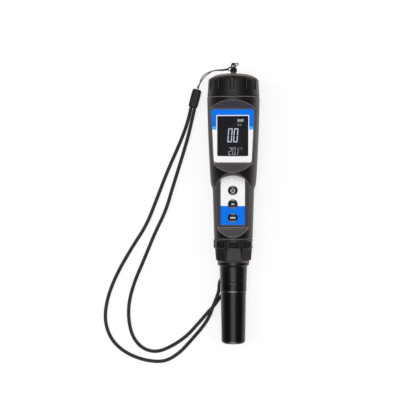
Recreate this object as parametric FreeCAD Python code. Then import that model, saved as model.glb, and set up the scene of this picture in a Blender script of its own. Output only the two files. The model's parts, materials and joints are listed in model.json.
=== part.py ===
import FreeCAD, Part
import math
import os
from FreeCAD import Vector

# Pen-type conductivity meter with a wrist lanyard, lying on its back.
# Every pen piece is modelled in the pen's own frame: +Y is the station, measured from the tip of
# the storage cap towards the battery cap, +Z points out of the display, and the axis is X = Z = 0.
# The last step tilts the pen about X until the narrow flat on its back lies on the ground, Z = 0.

# Clearances
FIT = 0.08
GAP = 0.3
SEAL_GAP = 0.06
PLAY = 0.15

# Storage cap
CAP_TIP_R = 8.7
CAP_SHOULDER_R = 9.2
CAP_RIM_R = 9.6
CAP_SHOULDER_S = 38.0
CAP_MOUTH_S = 44.7
CAP_EDGE_R = 2.3
CAP_FLOOR = 2.6
CAP_CAVITY_R = 7.0
CAP_SOCKET_R = 8.35
CAP_SOCKET_DEPTH = 7.4
CAP_RIM_STEP = 0.6

# Probe
PROBE_BODY_R = 6.3
PROBE_TIP_S = 13.0
PROBE_GUARD_TOP_S = 25.0
GUARD_WALL = 1.0
GUARD_SLOTS = 4
GUARD_SLOT_W = 3.4
GUARD_SLOT_LO_S = 15.0
GUARD_SLOT_HI_S = 22.5
GUARD_MOUTH_R = 3.9
CORE_R = 3.2
CORE_TIP_S = 16.0
RING_STAND = 0.2
RING_W = 1.4
RING_STATIONS = (17.6, 21.0)
THERMISTOR_R = 1.1
THERMISTOR_L = 2.2
STEM_STEP_S = 37.8
STEM_SOCKET_R = 8.0
CAP_SEAL_S = 41.4
SEAL_WIRE = 0.9
SLEEVE_LO_S = 45.0
SLEEVE_LO_R = 9.7
SLEEVE_HI_R = 10.05
FLANGE_LO_S = 56.9
FLANGE_HI_S = 59.4
FLANGE_R = 11.55
WASHER_W = 1.55
WASHER_T = 1.4
SHANK_R = 10.1
TRAP_R = 12.0
TRAP_T = 1.1
PLUG_R = 10.6
PLUG_TOP_S = 77.4
PLUG_SEALS = (68.0, 72.5)
PIN_R = 0.5
PIN_RING_R = 5.2
PIN_COUNT = 5
PIN_L = 5.0

# Lock collar
COLLAR_LIP_T = 2.3
COLLAR_TOP_S = 76.1
COLLAR_BAND_LO_S = 69.7
COLLAR_BAND_R = 14.15
COLLAR_CONE_HI_R = 14.1
COLLAR_CONE_LO_R = 13.7
COLLAR_CHAMFER = 0.8
COLLAR_GRIPS = 8
GRIP_TURN = 4.7
WINDOW_HALF_ANGLE = 16.0
WINDOW_LO_S = 70.2
WINDOW_HI_S = 74.7
WINDOW_DEPTH = 0.7
FLAT_HI_HALF_ANGLE = 18.0
FLAT_LO_HALF_ANGLE = 22.0
PAD_HALF_ANGLE = 11.0
PAD_R = 14.45

# Housing
SPIGOT_R = 12.3
SPIGOT_BORE_R = 10.9
LEDGE_S = 79.6
HOUSING_LO_R = 14.05
NECK_S = 109.5
NECK_FLARE = 0.95
SHOULDER_S = 118.6
SHOULDER_FLARE = 1.65
CROWN_S = 148.0
CROWN_FLARE = 1.5
HEAD_S = 179.2
HEAD_FLARE = 0.85
HEAD_EDGE = 0.4
MOUTH_S = 190.4
MOUTH_STEP = 3.5
MOUTH_WALL = 1.3
HEAD_WALL = 2.2
NECK_LO_WALL = 1.95
NECK_HI_WALL = 2.5

# Flat on the back, by how far it cuts into the round body at its two ends
REST_HEAD_CUT = 0.25
REST_SHOULDER_S = 118.0
REST_SHOULDER_CUT = 0.4

# Display facet
FACET_Z = 10.0
FACET_LO_S = 131.6
FACET_HI_S = 170.6
FACET_RAMP_LO_S = 124.9
FACET_RAMP_HI_S = 176.4
FACET_WALL = 1.9
LABEL_T = 0.5
LABEL_LO_S = 131.9
LABEL_HI_S = 169.8
LABEL_LO_HALF = 13.6
LABEL_HI_HALF = 15.4
LABEL_CORNER = 1.6
WINDOW_W = 22.2
WINDOW_LO = 136.4
WINDOW_HI = 164.7
LENS_CORNER = 1.0
LENS_T = 1.7

# Button facet
KEYS_Z = 8.7
KEYS_LO_S = 85.1
KEYS_STEP_S = 83.5
KEYS_STEP_Z = 9.7
KEYS_RAMP_S = 78.3
KEYS_HALF = 12.1
ARCH_S = 114.5
ARCH_TOP_S = 123.3
ARCH_DRAFT = 1.6
KEYS_WALL = 1.8
KEY_LABEL_T = 0.4
KEY_LABEL_HALF = 9.15
KEY_LABEL_LO_S = 86.9
KEY_LABEL_TOP_S = 122.5
KEY_LABEL_SHOULDER_S = 119.5
KEY_LABEL_CORNER = 1.3
BUTTON_STATIONS = (111.6, 101.8, 92.0)
BUTTON_NAMES = ("button_power", "button_hold", "button_mode")
BUTTON_R = 3.4
BUTTON_STAND = 0.35
BUTTON_CROWN = 0.45
BUTTON_BAND_HALF = 1.75
BUTTON_FACET_LO = 0.1
BUTTON_FLANGE_R = 4.1
BUTTON_FLANGE_T = 0.7
BUTTON_TRAVEL = 0.6
PLUNGER_R = 2.0

# Board, display stack and keypad
BOARD_TOP_Z = 3.0
BOARD_T = 1.6
BOARD_HI_S = 166.2
BOARD_STEP_S = 119.0
BOARD_NARROW_CLEAR = 1.3
BOARD_WIDE_CLEAR = 1.7
LCD_HALF = 11.8
LCD_T = 2.0
LCD_LO_S = 133.6
BACKLIGHT_LO_S = 136.4
STRIP_W = 2.0
SWITCH_HALF = 2.25
SWITCH_T = 1.0
SWITCH_TIP_R = 0.9
SWITCH_TIP_T = 0.3
MAT_T = 0.5
MAT_WALL = 1.0
MAT_HALF = 5.6
MAT_OVER = 5.4
SCREW_R = 0.9
SCREW_HEAD_R = 1.7
SCREW_HEAD_T = 1.0
SCREW_L = 5.0
SCREW_STATIONS = (125.5, 130.5)
DISPLAY_CHIP_HALF = 4.5
DISPLAY_CHIP_LO_S = 142.0
DISPLAY_CHIP_T = 1.2
PROBE_CHIP_HALF = 2.5
PROBE_CHIP_LO_S = 96.0
PROBE_CHIP_L = 6.0
PROBE_CHIP_T = 1.5

# Inner frame and battery carrier
FRAME_CLEAR = 0.55
FRAME_WALL = 2.3
FRAME_FLOOR = 1.6
FRAME_LO_S = 119.6
CARRIER_BORE_R = 5.95
CARRIER_R = 7.2
CARRIER_FLOOR = 0.8
CARRIER_FLANGE_S = 186.0
CARRIER_FLANGE_CLEAR = 0.15
CELL_R = 5.8
CELL_T = 5.4
CELL_COUNT = 4
CELL_TOP_S = 190.5
CELL_EDGE = 0.4
SPRING_T = 1.3

# Battery cap
SKIRT_LO_STEP = 0.2
SKIRT_HI_STEP = 0.85
SKIRT_TOP_S = 190.6
DOME_EDGE_STEP = 1.3
DOME_EDGE_S = 192.4
DOME_BEND_STEP = 2.65
DOME_BEND_S = 194.1
DOME_CROWN_STEP = 3.6
DOME_CROWN_S = 195.3
DOME_TOP_S = 196.2
CAP_BORE_CLEAR = 0.3
CAP_CEILING_S = 193.6
CAP_CEILING_STEP = 2.8
GROOVES = 12
GROOVE_W = 2.6
GROOVE_DEPTH = 0.8
GROOVE_LO_S = 184.0
BOSS_R = 3.2
BOSS_S = 193.0
PLATE_HUB_R = 1.5
PLATE_HUB_TOP_S = 194.9
PLATE_S = 192.4
PLATE_T = 0.4
PLATE_R = 9.0
DIMPLE_R = 3.0
NECK_SEAL_S = 181.2
LUG_W = 3.4
LUG_T = 2.4
LUG_TOP_S = 203.8
LUG_EYE_S = 201.3
LUG_EYE_R = 1.0

# Lanyard
STRING_D = 0.9
HITCH_R = 1.9
CORD_D = 2.2
SLEEVE_W = 6.6
SLEEVE_LO_W = 5.2
SLEEVE_HI_W = 6.1
SLEEVE_WAIST = 0.55
SLEEVE_CORNER = 1.4
SLEEVE_H = 4.4
SLEEVE_EDGE = 1.2
SLEEVE_TOP = (-27.2, 84.4)
SLEEVE_BOTTOM = (-29.9, 70.3)

# Lanyard routes on the ground, as (X, Y, Z) of the cord's middle
STRING_A_ROUTE = (
    (-26.85, 84.75, 2.2),
    (-26.2, 87.4, 1.4),
    (-24.9, 91.3, 1.4),
    (-23.0, 94.2, 3.4),
    (-19.2, 96.2, 7.4),
    (-14.1, 97.2, 11.9),
    (-9.8, 97.3, 15.5),
    (-6.7, 97.5, 17.9),
    (-4.7, 98.0, 19.1),
)
STRING_B_ROUTE = (
    (-27.8, 85.1, 2.2),
    (-26.6, 87.0, 3.4),
    (-23.7, 90.9, 3.4),
    (-20.9, 93.6, 5.6),
    (-17.9, 95.4, 9.3),
    (-14.7, 97.2, 13.1),
    (-10.5, 97.8, 16.5),
    (-7.0, 98.3, 18.7),
    (-4.7, 99.0, 19.9),
)
CORD_ROUTE = (
    (-31.1, 70.3, 2.0),
    (-33.7, 60.5, 1.1),
    (-40.0, 44.0, 1.1),
    (-49.2, 23.4, 1.1),
    (-57.3, 2.0, 1.1),
    (-64.6, -16.4, 1.1),
    (-75.3, -32.6, 1.1),
    (-87.1, -53.3, 1.1),
    (-94.1, -71.0, 1.1),
    (-96.1, -87.2, 1.1),
    (-91.9, -101.2, 1.1),
    (-81.2, -111.1, 1.1),
    (-66.4, -117.0, 1.1),
    (-51.0, -116.7, 1.1),
    (-39.9, -109.3, 1.1),
    (-31.1, -100.1, 1.1),
    (-21.8, -90.1, 1.1),
    (-17.4, -82.8, 1.7),
    (-15.1, -76.3, 4.3),
    (-13.1, -70.4, 4.3),
    (-10.7, -63.7, 1.9),
    (-11.0, -57.5, 1.1),
    (-6.9, -52.9, 1.1),
    (-0.7, -52.6, 1.1),
    (3.9, -56.8, 1.1),
    (4.2, -63.0, 1.1),
    (0.1, -67.6, 1.1),
    (-6.1, -67.9, 1.1),
    (-11.2, -70.6, 1.1),
    (-15.6, -74.7, 1.1),
    (-19.7, -79.8, 1.1),
    (-25.9, -88.5, 1.1),
    (-34.4, -97.9, 1.1),
    (-45.1, -105.2, 1.1),
    (-56.1, -109.9, 1.1),
    (-66.4, -107.8, 1.1),
    (-74.2, -99.7, 1.1),
    (-77.6, -87.2, 1.1),
    (-77.5, -73.2, 1.1),
    (-73.4, -58.1, 1.1),
    (-65.7, -40.4, 1.1),
    (-58.3, -22.0, 1.1),
    (-50.2, -5.7, 1.1),
    (-44.7, 13.0, 1.1),
    (-38.4, 33.3, 1.1),
    (-33.6, 49.5, 1.1),
    (-30.4, 61.7, 1.1),
    (-28.8, 69.9, 2.0),
)

# Worked-out sizes
NECK_R = HOUSING_LO_R + NECK_FLARE
SHOULDER_R = NECK_R + SHOULDER_FLARE
CROWN_R = SHOULDER_R + CROWN_FLARE
HEAD_R = CROWN_R + HEAD_FLARE
REST_HEAD = HEAD_R - REST_HEAD_CUT
REST_SHOULDER = SHOULDER_R - REST_SHOULDER_CUT
SKIRT_LO_R = HEAD_R - SKIRT_LO_STEP
SKIRT_HI_R = HEAD_R - SKIRT_HI_STEP
DOME_EDGE_R = SKIRT_HI_R - DOME_EDGE_STEP
DOME_BEND_R = DOME_EDGE_R - DOME_BEND_STEP
DOME_CROWN_R = DOME_BEND_R - DOME_CROWN_STEP
FRAME_R = SHOULDER_R - HEAD_WALL - FRAME_CLEAR
FRAME_BORE_R = FRAME_R - FRAME_WALL
MOUTH_R = HEAD_R - MOUTH_STEP
MOUTH_BORE_R = MOUTH_R - MOUTH_WALL
CAP_BORE_R = MOUTH_R + CAP_BORE_CLEAR
CAP_CEILING_R = CAP_BORE_R - CAP_CEILING_STEP
CARRIER_FLANGE_R = MOUTH_BORE_R - CARRIER_FLANGE_CLEAR
NECK_BORE_LO_R = HOUSING_LO_R - NECK_LO_WALL
NECK_BORE_HI_R = NECK_R - NECK_HI_WALL
BOARD_NARROW_HALF = NECK_BORE_LO_R - BOARD_NARROW_CLEAR
BOARD_WIDE_HALF = FRAME_R - BOARD_WIDE_CLEAR
WASHER_R = SHANK_R + WASHER_W
COLLAR_LO_S = FLANGE_HI_S + WASHER_T + 0.1
TRAP_LO_S = COLLAR_LO_S + COLLAR_LIP_T + 0.05
SPIGOT_LO_S = TRAP_LO_S + TRAP_T + 0.1
HOUSING_LO_S = COLLAR_TOP_S + GAP
SKIRT_LO_S = HEAD_S + GAP
KEYS_SEAT_Z = KEYS_Z - KEY_LABEL_T
KEYS_INNER_Z = KEYS_Z - KEYS_WALL
FACET_INNER_Z = FACET_Z - LABEL_T - FACET_WALL
BOARD_Z = BOARD_TOP_Z - BOARD_T
CELL_LO_S = CELL_TOP_S - CELL_COUNT * CELL_T
CARRIER_LO_S = CELL_LO_S - SPRING_T - CARRIER_FLOOR
MAT_Z = BOARD_TOP_Z + SWITCH_T + SWITCH_TIP_T + BUTTON_TRAVEL
SOCKET_HI_S = LEDGE_S + 4.6
REST_SLOPE = (REST_HEAD - REST_SHOULDER) / (HEAD_S - REST_SHOULDER_S)
TILT = math.atan(REST_SLOPE)
REST_AT_TIP = REST_HEAD - HEAD_S * REST_SLOPE
Y_TIP = CAP_EDGE_R * (math.cos(TILT) - 1) - (CAP_TIP_R - CAP_EDGE_R) * math.sin(TILT)
Y_LUG = LUG_TOP_S * math.cos(TILT) + LUG_T / 2 * math.sin(TILT)
Y_MIDDLE = (Y_TIP + Y_LUG) / 2

AXIS = Vector(0, 1, 0)
OUT = Vector(0, 0, 1)
ORIGIN = Vector(0, 0, 0)


def edges_of(steps, to_point):
    """Edges through the steps: a pair is a line's end, a pair of pairs is an arc through the first."""
    edges = []
    here = to_point(steps[0])
    for step in steps[1:]:
        if isinstance(step[0], tuple):
            middle = to_point(step[0])
            end = to_point(step[1])
            edges.append(Part.Arc(here, middle, end).toShape())
        else:
            end = to_point(step)
            edges.append(Part.LineSegment(here, end).toShape())
        here = end
    start = to_point(steps[0])
    if here.distanceToPoint(start) > 1e-6:
        edges.append(Part.LineSegment(here, start).toShape())
    return edges


def crown_middle(edge_r, edge_level, top_level):
    """Point half way across a spherical crown that rises from its edge to its top on the axis."""
    rise = top_level - edge_level
    ball_r = (edge_r ** 2 + rise ** 2) / (2 * rise)
    return (edge_r / 2, top_level - ball_r + math.sqrt(ball_r ** 2 - edge_r ** 2 / 4))


def turned(*steps):
    """Solid of revolution about the pen's axis, from a closed outline of (radius, station) steps."""
    edges = edges_of(steps, lambda p: Vector(p[0], p[1], 0))
    return Part.Face(Part.Wire(edges)).revolve(ORIGIN, AXIS, 360)


def tube(outer_r, inner_r, low_s, high_s):
    """Plain ring or disc between two stations."""
    base = Vector(0, low_s, 0)
    solid = Part.makeCylinder(outer_r, high_s - low_s, base, AXIS)
    if inner_r > 0:
        solid = solid.cut(Part.makeCylinder(inner_r, high_s - low_s, base, AXIS))
    return solid


def side_prism(steps, half=30.0):
    """Block across the pen, from a side outline of (station, height) steps."""
    edges = edges_of(steps, lambda p: Vector(-half, p[0], p[1]))
    return Part.Face(Part.Wire(edges)).extrude(Vector(2 * half, 0, 0))


def plan_prism(steps, low_z, high_z, corner=0.0, corner_below_s=1e9):
    """Plate seen from the front, from a closed outline of (x, station) steps, with round corners."""
    edges = edges_of(steps, lambda p: Vector(p[0], p[1], low_z))
    solid = Part.Face(Part.Wire(edges)).extrude(Vector(0, 0, high_z - low_z))
    if corner > 0:
        rounded = []
        for edge in solid.Edges:
            middle = edge.CenterOfMass
            upright = abs(edge.tangentAt(edge.FirstParameter).z) > 0.99
            if upright and middle.y < corner_below_s:
                rounded.append(edge)
        solid = solid.makeFillet(corner, rounded)
    return solid


def trapezium(low_half, high_half, low_s, high_s):
    """Symmetric four-sided outline seen from the front."""
    return ((-low_half, low_s), (low_half, low_s), (high_half, high_s), (-high_half, high_s))


def block(x_half, low_s, high_s, low_z, high_z, x_middle=0.0):
    """Plain block, centred on x_middle."""
    corner = Vector(x_middle - x_half, low_s, low_z)
    return Part.makeBox(2 * x_half, high_s - low_s, high_z - low_z, corner)


def seal_ring(outer_r, station):
    """O-ring whose outer edge lies at outer_r."""
    wire_r = SEAL_WIRE / 2
    return Part.makeTorus(outer_r - wire_r, wire_r, Vector(0, station, 0), AXIS)


def seal_groove(outer_r, station):
    """Square groove that holds an O-ring, as a cutter."""
    bottom = outer_r - SEAL_WIRE
    half = SEAL_WIRE / 2 + FIT
    return tube(outer_r + 1.0, bottom, station - half, station + half)


def spun(solid, degrees):
    """The same solid turned about the pen's axis."""
    copy = solid.copy()
    copy.rotate(ORIGIN, AXIS, degrees)
    return copy


def group(solids):
    """Separate solids that share one node."""
    return Part.makeCompound(solids)


def storage_cap():
    outer = turned(
        (0, 0),
        (CAP_TIP_R - CAP_EDGE_R, 0),
        (
            (CAP_TIP_R - CAP_EDGE_R * (1 - math.sqrt(0.5)), CAP_EDGE_R * (1 - math.sqrt(0.5))),
            (CAP_TIP_R, CAP_EDGE_R),
        ),
        (CAP_SHOULDER_R, CAP_SHOULDER_S),
        (CAP_RIM_R, CAP_SHOULDER_S + CAP_RIM_STEP),
        (CAP_RIM_R, CAP_MOUTH_S - 0.4),
        (CAP_RIM_R - 0.4, CAP_MOUTH_S),
        (0, CAP_MOUTH_S),
    )
    cavity = turned(
        (0, CAP_FLOOR),
        (CAP_CAVITY_R - 1.2, CAP_FLOOR),
        (CAP_CAVITY_R, CAP_FLOOR + 1.2),
        (CAP_CAVITY_R, CAP_MOUTH_S - CAP_SOCKET_DEPTH - 1.0),
        (CAP_SOCKET_R, CAP_MOUTH_S - CAP_SOCKET_DEPTH),
        (CAP_SOCKET_R, CAP_MOUTH_S + 1.0),
        (0, CAP_MOUTH_S + 1.0),
    )
    return outer.cut(cavity)


def probe_stem():
    """Moulded body of the replaceable electrode, from its plug down to the sensing end."""
    solid = turned(
        (0, PROBE_GUARD_TOP_S),
        (PROBE_BODY_R, PROBE_GUARD_TOP_S),
        (PROBE_BODY_R, STEM_STEP_S - 1.0),
        (STEM_SOCKET_R, STEM_STEP_S + 0.6),
        (STEM_SOCKET_R, SLEEVE_LO_S),
        (SLEEVE_LO_R - 0.3, SLEEVE_LO_S),
        (SLEEVE_LO_R, SLEEVE_LO_S + 0.3),
        (SLEEVE_HI_R, FLANGE_LO_S - 0.6),
        (SLEEVE_HI_R + 0.3, FLANGE_LO_S),
        (FLANGE_R - 0.9, FLANGE_LO_S),
        ((FLANGE_R - 0.26, FLANGE_LO_S + 0.34), (FLANGE_R, FLANGE_LO_S + 1.1)),
        (FLANGE_R, FLANGE_HI_S),
        (SHANK_R, FLANGE_HI_S),
        (SHANK_R, TRAP_LO_S),
        (TRAP_R, TRAP_LO_S),
        (TRAP_R, TRAP_LO_S + TRAP_T),
        (PLUG_R, TRAP_LO_S + TRAP_T),
        (PLUG_R, PLUG_TOP_S - 0.8),
        (PLUG_R - 0.8, PLUG_TOP_S),
        (0, PLUG_TOP_S),
    )
    for station in PLUG_SEALS:
        solid = solid.cut(seal_groove(SPIGOT_BORE_R - SEAL_GAP, station))
    solid = solid.cut(seal_groove(CAP_SOCKET_R - SEAL_GAP, CAP_SEAL_S))
    for pin in range(PIN_COUNT):
        hole = Part.makeCylinder(PIN_R, 3.0, Vector(PIN_RING_R, PLUG_TOP_S - 3.0, 0), AXIS)
        solid = solid.cut(spun(hole, 360.0 * pin / PIN_COUNT))
    return solid


def probe_pins():
    pins = []
    for pin in range(PIN_COUNT):
        base = Vector(PIN_RING_R, PLUG_TOP_S - 3.0, 0)
        shaft = Part.makeCylinder(PIN_R, 3.0 + PIN_L - PIN_R, base, AXIS)
        tip = Part.makeSphere(PIN_R, Vector(PIN_RING_R, PLUG_TOP_S + PIN_L - PIN_R, 0))
        pins.append(spun(shaft.fuse(tip).removeSplitter(), 360.0 * pin / PIN_COUNT))
    return group(pins)


def probe_guard():
    """Slotted tube that shields the sensing end."""
    solid = turned(
        (GUARD_MOUTH_R, PROBE_TIP_S),
        (PROBE_BODY_R - 0.8, PROBE_TIP_S),
        ((PROBE_BODY_R - 0.23, PROBE_TIP_S + 0.23), (PROBE_BODY_R, PROBE_TIP_S + 0.8)),
        (PROBE_BODY_R, PROBE_GUARD_TOP_S),
        (PROBE_BODY_R - GUARD_WALL, PROBE_GUARD_TOP_S),
        (PROBE_BODY_R - GUARD_WALL, PROBE_TIP_S + 1.2),
        (GUARD_MOUTH_R, PROBE_TIP_S + 1.2),
    )
    for slot in range(GUARD_SLOTS):
        half = GUARD_SLOT_W / 2
        cutter = Part.makeBox(
            10.0,
            GUARD_SLOT_HI_S - GUARD_SLOT_LO_S - GUARD_SLOT_W,
            GUARD_SLOT_W,
            Vector(0, GUARD_SLOT_LO_S + half, -half),
        )
        for station in (GUARD_SLOT_LO_S + half, GUARD_SLOT_HI_S - half):
            cutter = cutter.fuse(Part.makeCylinder(half, 10.0, Vector(0, station, 0), Vector(1, 0, 0)))
        solid = solid.cut(spun(cutter, 45.0 + 360.0 * slot / GUARD_SLOTS))
    return solid


def sensor_core():
    solid = turned(
        (0, CORE_TIP_S),
        (CORE_R - 0.5, CORE_TIP_S),
        (CORE_R, CORE_TIP_S + 0.5),
        (CORE_R, PROBE_GUARD_TOP_S),
        (0, PROBE_GUARD_TOP_S),
    )
    for station in RING_STATIONS:
        solid = solid.cut(tube(CORE_R + 1.0, CORE_R - RING_STAND, station, station + RING_W))
    return solid


def sensing_rings():
    rings = []
    for station in RING_STATIONS:
        rings.append(tube(CORE_R + RING_STAND, CORE_R - RING_STAND, station, station + RING_W))
    return group(rings)


def temperature_sensor():
    low = CORE_TIP_S - THERMISTOR_L
    return turned(
        (0, low),
        ((THERMISTOR_R * math.sqrt(0.5), low + THERMISTOR_R * (1 - math.sqrt(0.5))),
         (THERMISTOR_R, low + THERMISTOR_R)),
        (THERMISTOR_R, CORE_TIP_S),
        (0, CORE_TIP_S),
    )


def plug_seals():
    return group([seal_ring(SPIGOT_BORE_R - SEAL_GAP, station) for station in PLUG_SEALS])


def collar_washer():
    return turned(
        (SHANK_R + FIT, FLANGE_HI_S),
        (WASHER_R - 0.2, FLANGE_HI_S),
        (WASHER_R, FLANGE_HI_S + 0.2),
        (WASHER_R, FLANGE_HI_S + WASHER_T - 0.2),
        (WASHER_R - 0.2, FLANGE_HI_S + WASHER_T),
        (SHANK_R + FIT, FLANGE_HI_S + WASHER_T),
    )


def wedge_sector(half_angle, low_s, high_s, reach):
    """Sector block about the pen's axis, centred on the display side."""
    side = reach * math.tan(math.radians(half_angle))
    edges = edges_of(((0, 0), (-side, reach), (side, reach)), lambda p: Vector(p[0], low_s, p[1]))
    return Part.Face(Part.Wire(edges)).extrude(Vector(0, high_s - low_s, 0))


def lock_collar():
    """Screwed ring with recessed windows round its top and tapered grip flats below."""
    cone_lo_s = COLLAR_LO_S + COLLAR_CHAMFER
    solid = turned(
        (SHANK_R + PLAY, COLLAR_LO_S),
        (COLLAR_CONE_LO_R - COLLAR_CHAMFER, COLLAR_LO_S),
        (COLLAR_CONE_LO_R, cone_lo_s),
        (COLLAR_CONE_HI_R, COLLAR_BAND_LO_S),
        (COLLAR_BAND_R, COLLAR_BAND_LO_S + 0.3),
        (COLLAR_BAND_R, COLLAR_TOP_S - 0.3),
        (COLLAR_BAND_R - 0.3, COLLAR_TOP_S),
        (SPIGOT_R + PLAY, COLLAR_TOP_S),
        (SPIGOT_R + PLAY, COLLAR_LO_S + COLLAR_LIP_T),
        (SHANK_R + PLAY, COLLAR_LO_S + COLLAR_LIP_T),
    )
    band_floor = COLLAR_BAND_R - WINDOW_DEPTH
    window_ring = tube(COLLAR_BAND_R + 1.0, band_floor, WINDOW_LO_S, WINDOW_HI_S)
    window = window_ring.common(wedge_sector(WINDOW_HALF_ANGLE, WINDOW_LO_S, WINDOW_HI_S, 20.0))
    flat_hi = COLLAR_CONE_HI_R * math.cos(math.radians(FLAT_HI_HALF_ANGLE))
    flat_lo = COLLAR_CONE_LO_R * math.cos(math.radians(FLAT_LO_HALF_ANGLE))
    lean = (flat_hi - flat_lo) / (COLLAR_BAND_LO_S - cone_lo_s)
    below = 2.0
    flat = side_prism(
        (
            (cone_lo_s - below, flat_lo - below * lean),
            (COLLAR_BAND_LO_S, flat_hi),
            (COLLAR_BAND_LO_S, 20.0),
            (cone_lo_s - below, 20.0),
        ),
        half=9.0,
    )
    for grip in range(COLLAR_GRIPS):
        angle = GRIP_TURN + 360.0 * grip / COLLAR_GRIPS
        solid = solid.cut(spun(flat, angle))
        solid = solid.cut(spun(window, angle))
    pad = tube(PAD_R, band_floor - 0.2, WINDOW_LO_S, COLLAR_TOP_S - 0.3)
    pad = pad.common(wedge_sector(PAD_HALF_ANGLE, WINDOW_LO_S, COLLAR_TOP_S, 20.0))
    return solid.fuse(spun(pad, GRIP_TURN - 90.0)).removeSplitter()


def display_cutter(drop=0.0, grow=0.0):
    """Everything in front of the display facet and its two ramps."""
    z = FACET_Z - drop
    rise_hi = (HEAD_R - FACET_Z) / (FACET_RAMP_HI_S - FACET_HI_S)
    rise_lo = (SHOULDER_R + 0.3 - FACET_Z) / (FACET_LO_S - FACET_RAMP_LO_S)
    top = 24.0
    return side_prism(
        (
            (FACET_LO_S - grow, z),
            (FACET_HI_S + grow, z),
            (FACET_HI_S + grow + (top - z) / rise_hi, top),
            (FACET_LO_S - grow - (top - z) / rise_lo, top),
        )
    )


def arch_outline(grow):
    """Outline of the button recess seen from the front: straight sides and an arched top."""
    half = KEYS_HALF + grow
    low = KEYS_RAMP_S - 12.0
    return ((-half, low), (half, low), (half, ARCH_S), ((0, ARCH_TOP_S + grow), (-half, ARCH_S)))


def keys_cutter(drop=0.0, grow=0.0):
    """Everything in front of the button facet, with its arched upper wall and its lower ramp."""
    z = KEYS_Z - drop
    top = 24.0
    low_wire = Part.Wire(edges_of(arch_outline(grow), lambda p: Vector(p[0], p[1], z)))
    high_wire = Part.Wire(edges_of(arch_outline(grow + ARCH_DRAFT), lambda p: Vector(p[0], p[1], top)))
    arch = Part.makeLoft([low_wire, high_wire], True, True)
    rise = (HOUSING_LO_R - KEYS_STEP_Z) / (KEYS_STEP_S - KEYS_RAMP_S)
    side = side_prism(
        (
            (KEYS_LO_S - grow, z),
            (ARCH_TOP_S + 20.0, z),
            (ARCH_TOP_S + 20.0, top),
            (KEYS_STEP_S - grow - (top - KEYS_STEP_Z + drop) / rise, top),
            (KEYS_STEP_S - grow, KEYS_STEP_Z - drop),
        )
    )
    return arch.common(side)


def key_label_outline(margin=0.0):
    half = KEY_LABEL_HALF + margin
    return (
        (-half, KEY_LABEL_LO_S - margin),
        (half, KEY_LABEL_LO_S - margin),
        (half, KEY_LABEL_SHOULDER_S),
        ((0, KEY_LABEL_TOP_S + margin), (-half, KEY_LABEL_SHOULDER_S)),
    )


def rest_cutter():
    """Everything behind the flat on the pen's back."""
    low = REST_SHOULDER_S - 30.0
    high = HEAD_S + 20.0
    return side_prism(
        (
            (low, -(REST_AT_TIP + low * REST_SLOPE)),
            (high, -(REST_AT_TIP + high * REST_SLOPE)),
            (high, -40.0),
            (low, -40.0),
        )
    )


def housing():
    """One moulded shell: battery mouth, display head, neck with the buttons and electrode spigot."""
    outer = turned(
        (0, SPIGOT_LO_S),
        (SPIGOT_R - 0.5, SPIGOT_LO_S),
        (SPIGOT_R, SPIGOT_LO_S + 0.5),
        (SPIGOT_R, HOUSING_LO_S),
        (HOUSING_LO_R - 0.4, HOUSING_LO_S),
        (HOUSING_LO_R, HOUSING_LO_S + 0.4),
        (NECK_R, NECK_S),
        ((NECK_R + 0.22, NECK_S + 2.9), (NECK_R + 0.9, NECK_S + 4.9)),
        ((SHOULDER_R - 0.32, SHOULDER_S - 2.4), (SHOULDER_R, SHOULDER_S)),
        ((CROWN_R, CROWN_S), (HEAD_R, HEAD_S - HEAD_EDGE)),
        (HEAD_R - HEAD_EDGE, HEAD_S),
        (MOUTH_R, HEAD_S),
        (MOUTH_R, MOUTH_S - 0.5),
        (MOUTH_R - 0.5, MOUTH_S),
        (0, MOUTH_S),
    )
    inner = turned(
        (0, SPIGOT_LO_S - 1.0),
        (SPIGOT_BORE_R, SPIGOT_LO_S - 1.0),
        (SPIGOT_BORE_R, LEDGE_S),
        (NECK_BORE_LO_R, LEDGE_S),
        (NECK_BORE_HI_R, NECK_S),
        (SHOULDER_R - HEAD_WALL, SHOULDER_S),
        ((CROWN_R - HEAD_WALL, CROWN_S), (HEAD_R - HEAD_WALL - 0.2, HEAD_S - 4.0)),
        (MOUTH_BORE_R, HEAD_S - 1.0),
        (MOUTH_BORE_R, MOUTH_S + 1.0),
        (0, MOUTH_S + 1.0),
    )
    inner = inner.cut(display_cutter(LABEL_T + FACET_WALL, FACET_WALL))
    inner = inner.cut(keys_cutter(KEYS_WALL, KEYS_WALL))
    solid = outer.cut(inner)
    solid = solid.cut(display_cutter())
    solid = solid.cut(keys_cutter())
    label_seat = plan_prism(
        trapezium(LABEL_LO_HALF + FIT, LABEL_HI_HALF + FIT, LABEL_LO_S - FIT, LABEL_HI_S + FIT),
        FACET_Z - LABEL_T,
        FACET_Z + 3.0,
        LABEL_CORNER,
    )
    solid = solid.cut(label_seat)
    key_seat = plan_prism(
        key_label_outline(FIT), KEYS_SEAT_Z, KEYS_Z + 2.0, KEY_LABEL_CORNER, KEY_LABEL_LO_S + 1.0
    )
    solid = solid.cut(key_seat)
    window = plan_prism(
        trapezium(WINDOW_W / 2 + FIT, WINDOW_W / 2 + FIT, WINDOW_LO - FIT, WINDOW_HI + FIT),
        FACET_INNER_Z - 2.0,
        FACET_Z,
        LENS_CORNER,
    )
    solid = solid.cut(window)
    for station in BUTTON_STATIONS:
        hole = Part.makeCylinder(BUTTON_R + FIT, 6.0, Vector(0, station, KEYS_INNER_Z - 2.0), OUT)
        solid = solid.cut(hole)
    solid = solid.cut(seal_groove(CAP_BORE_R - SEAL_GAP, NECK_SEAL_S))
    return solid.cut(rest_cutter())


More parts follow.
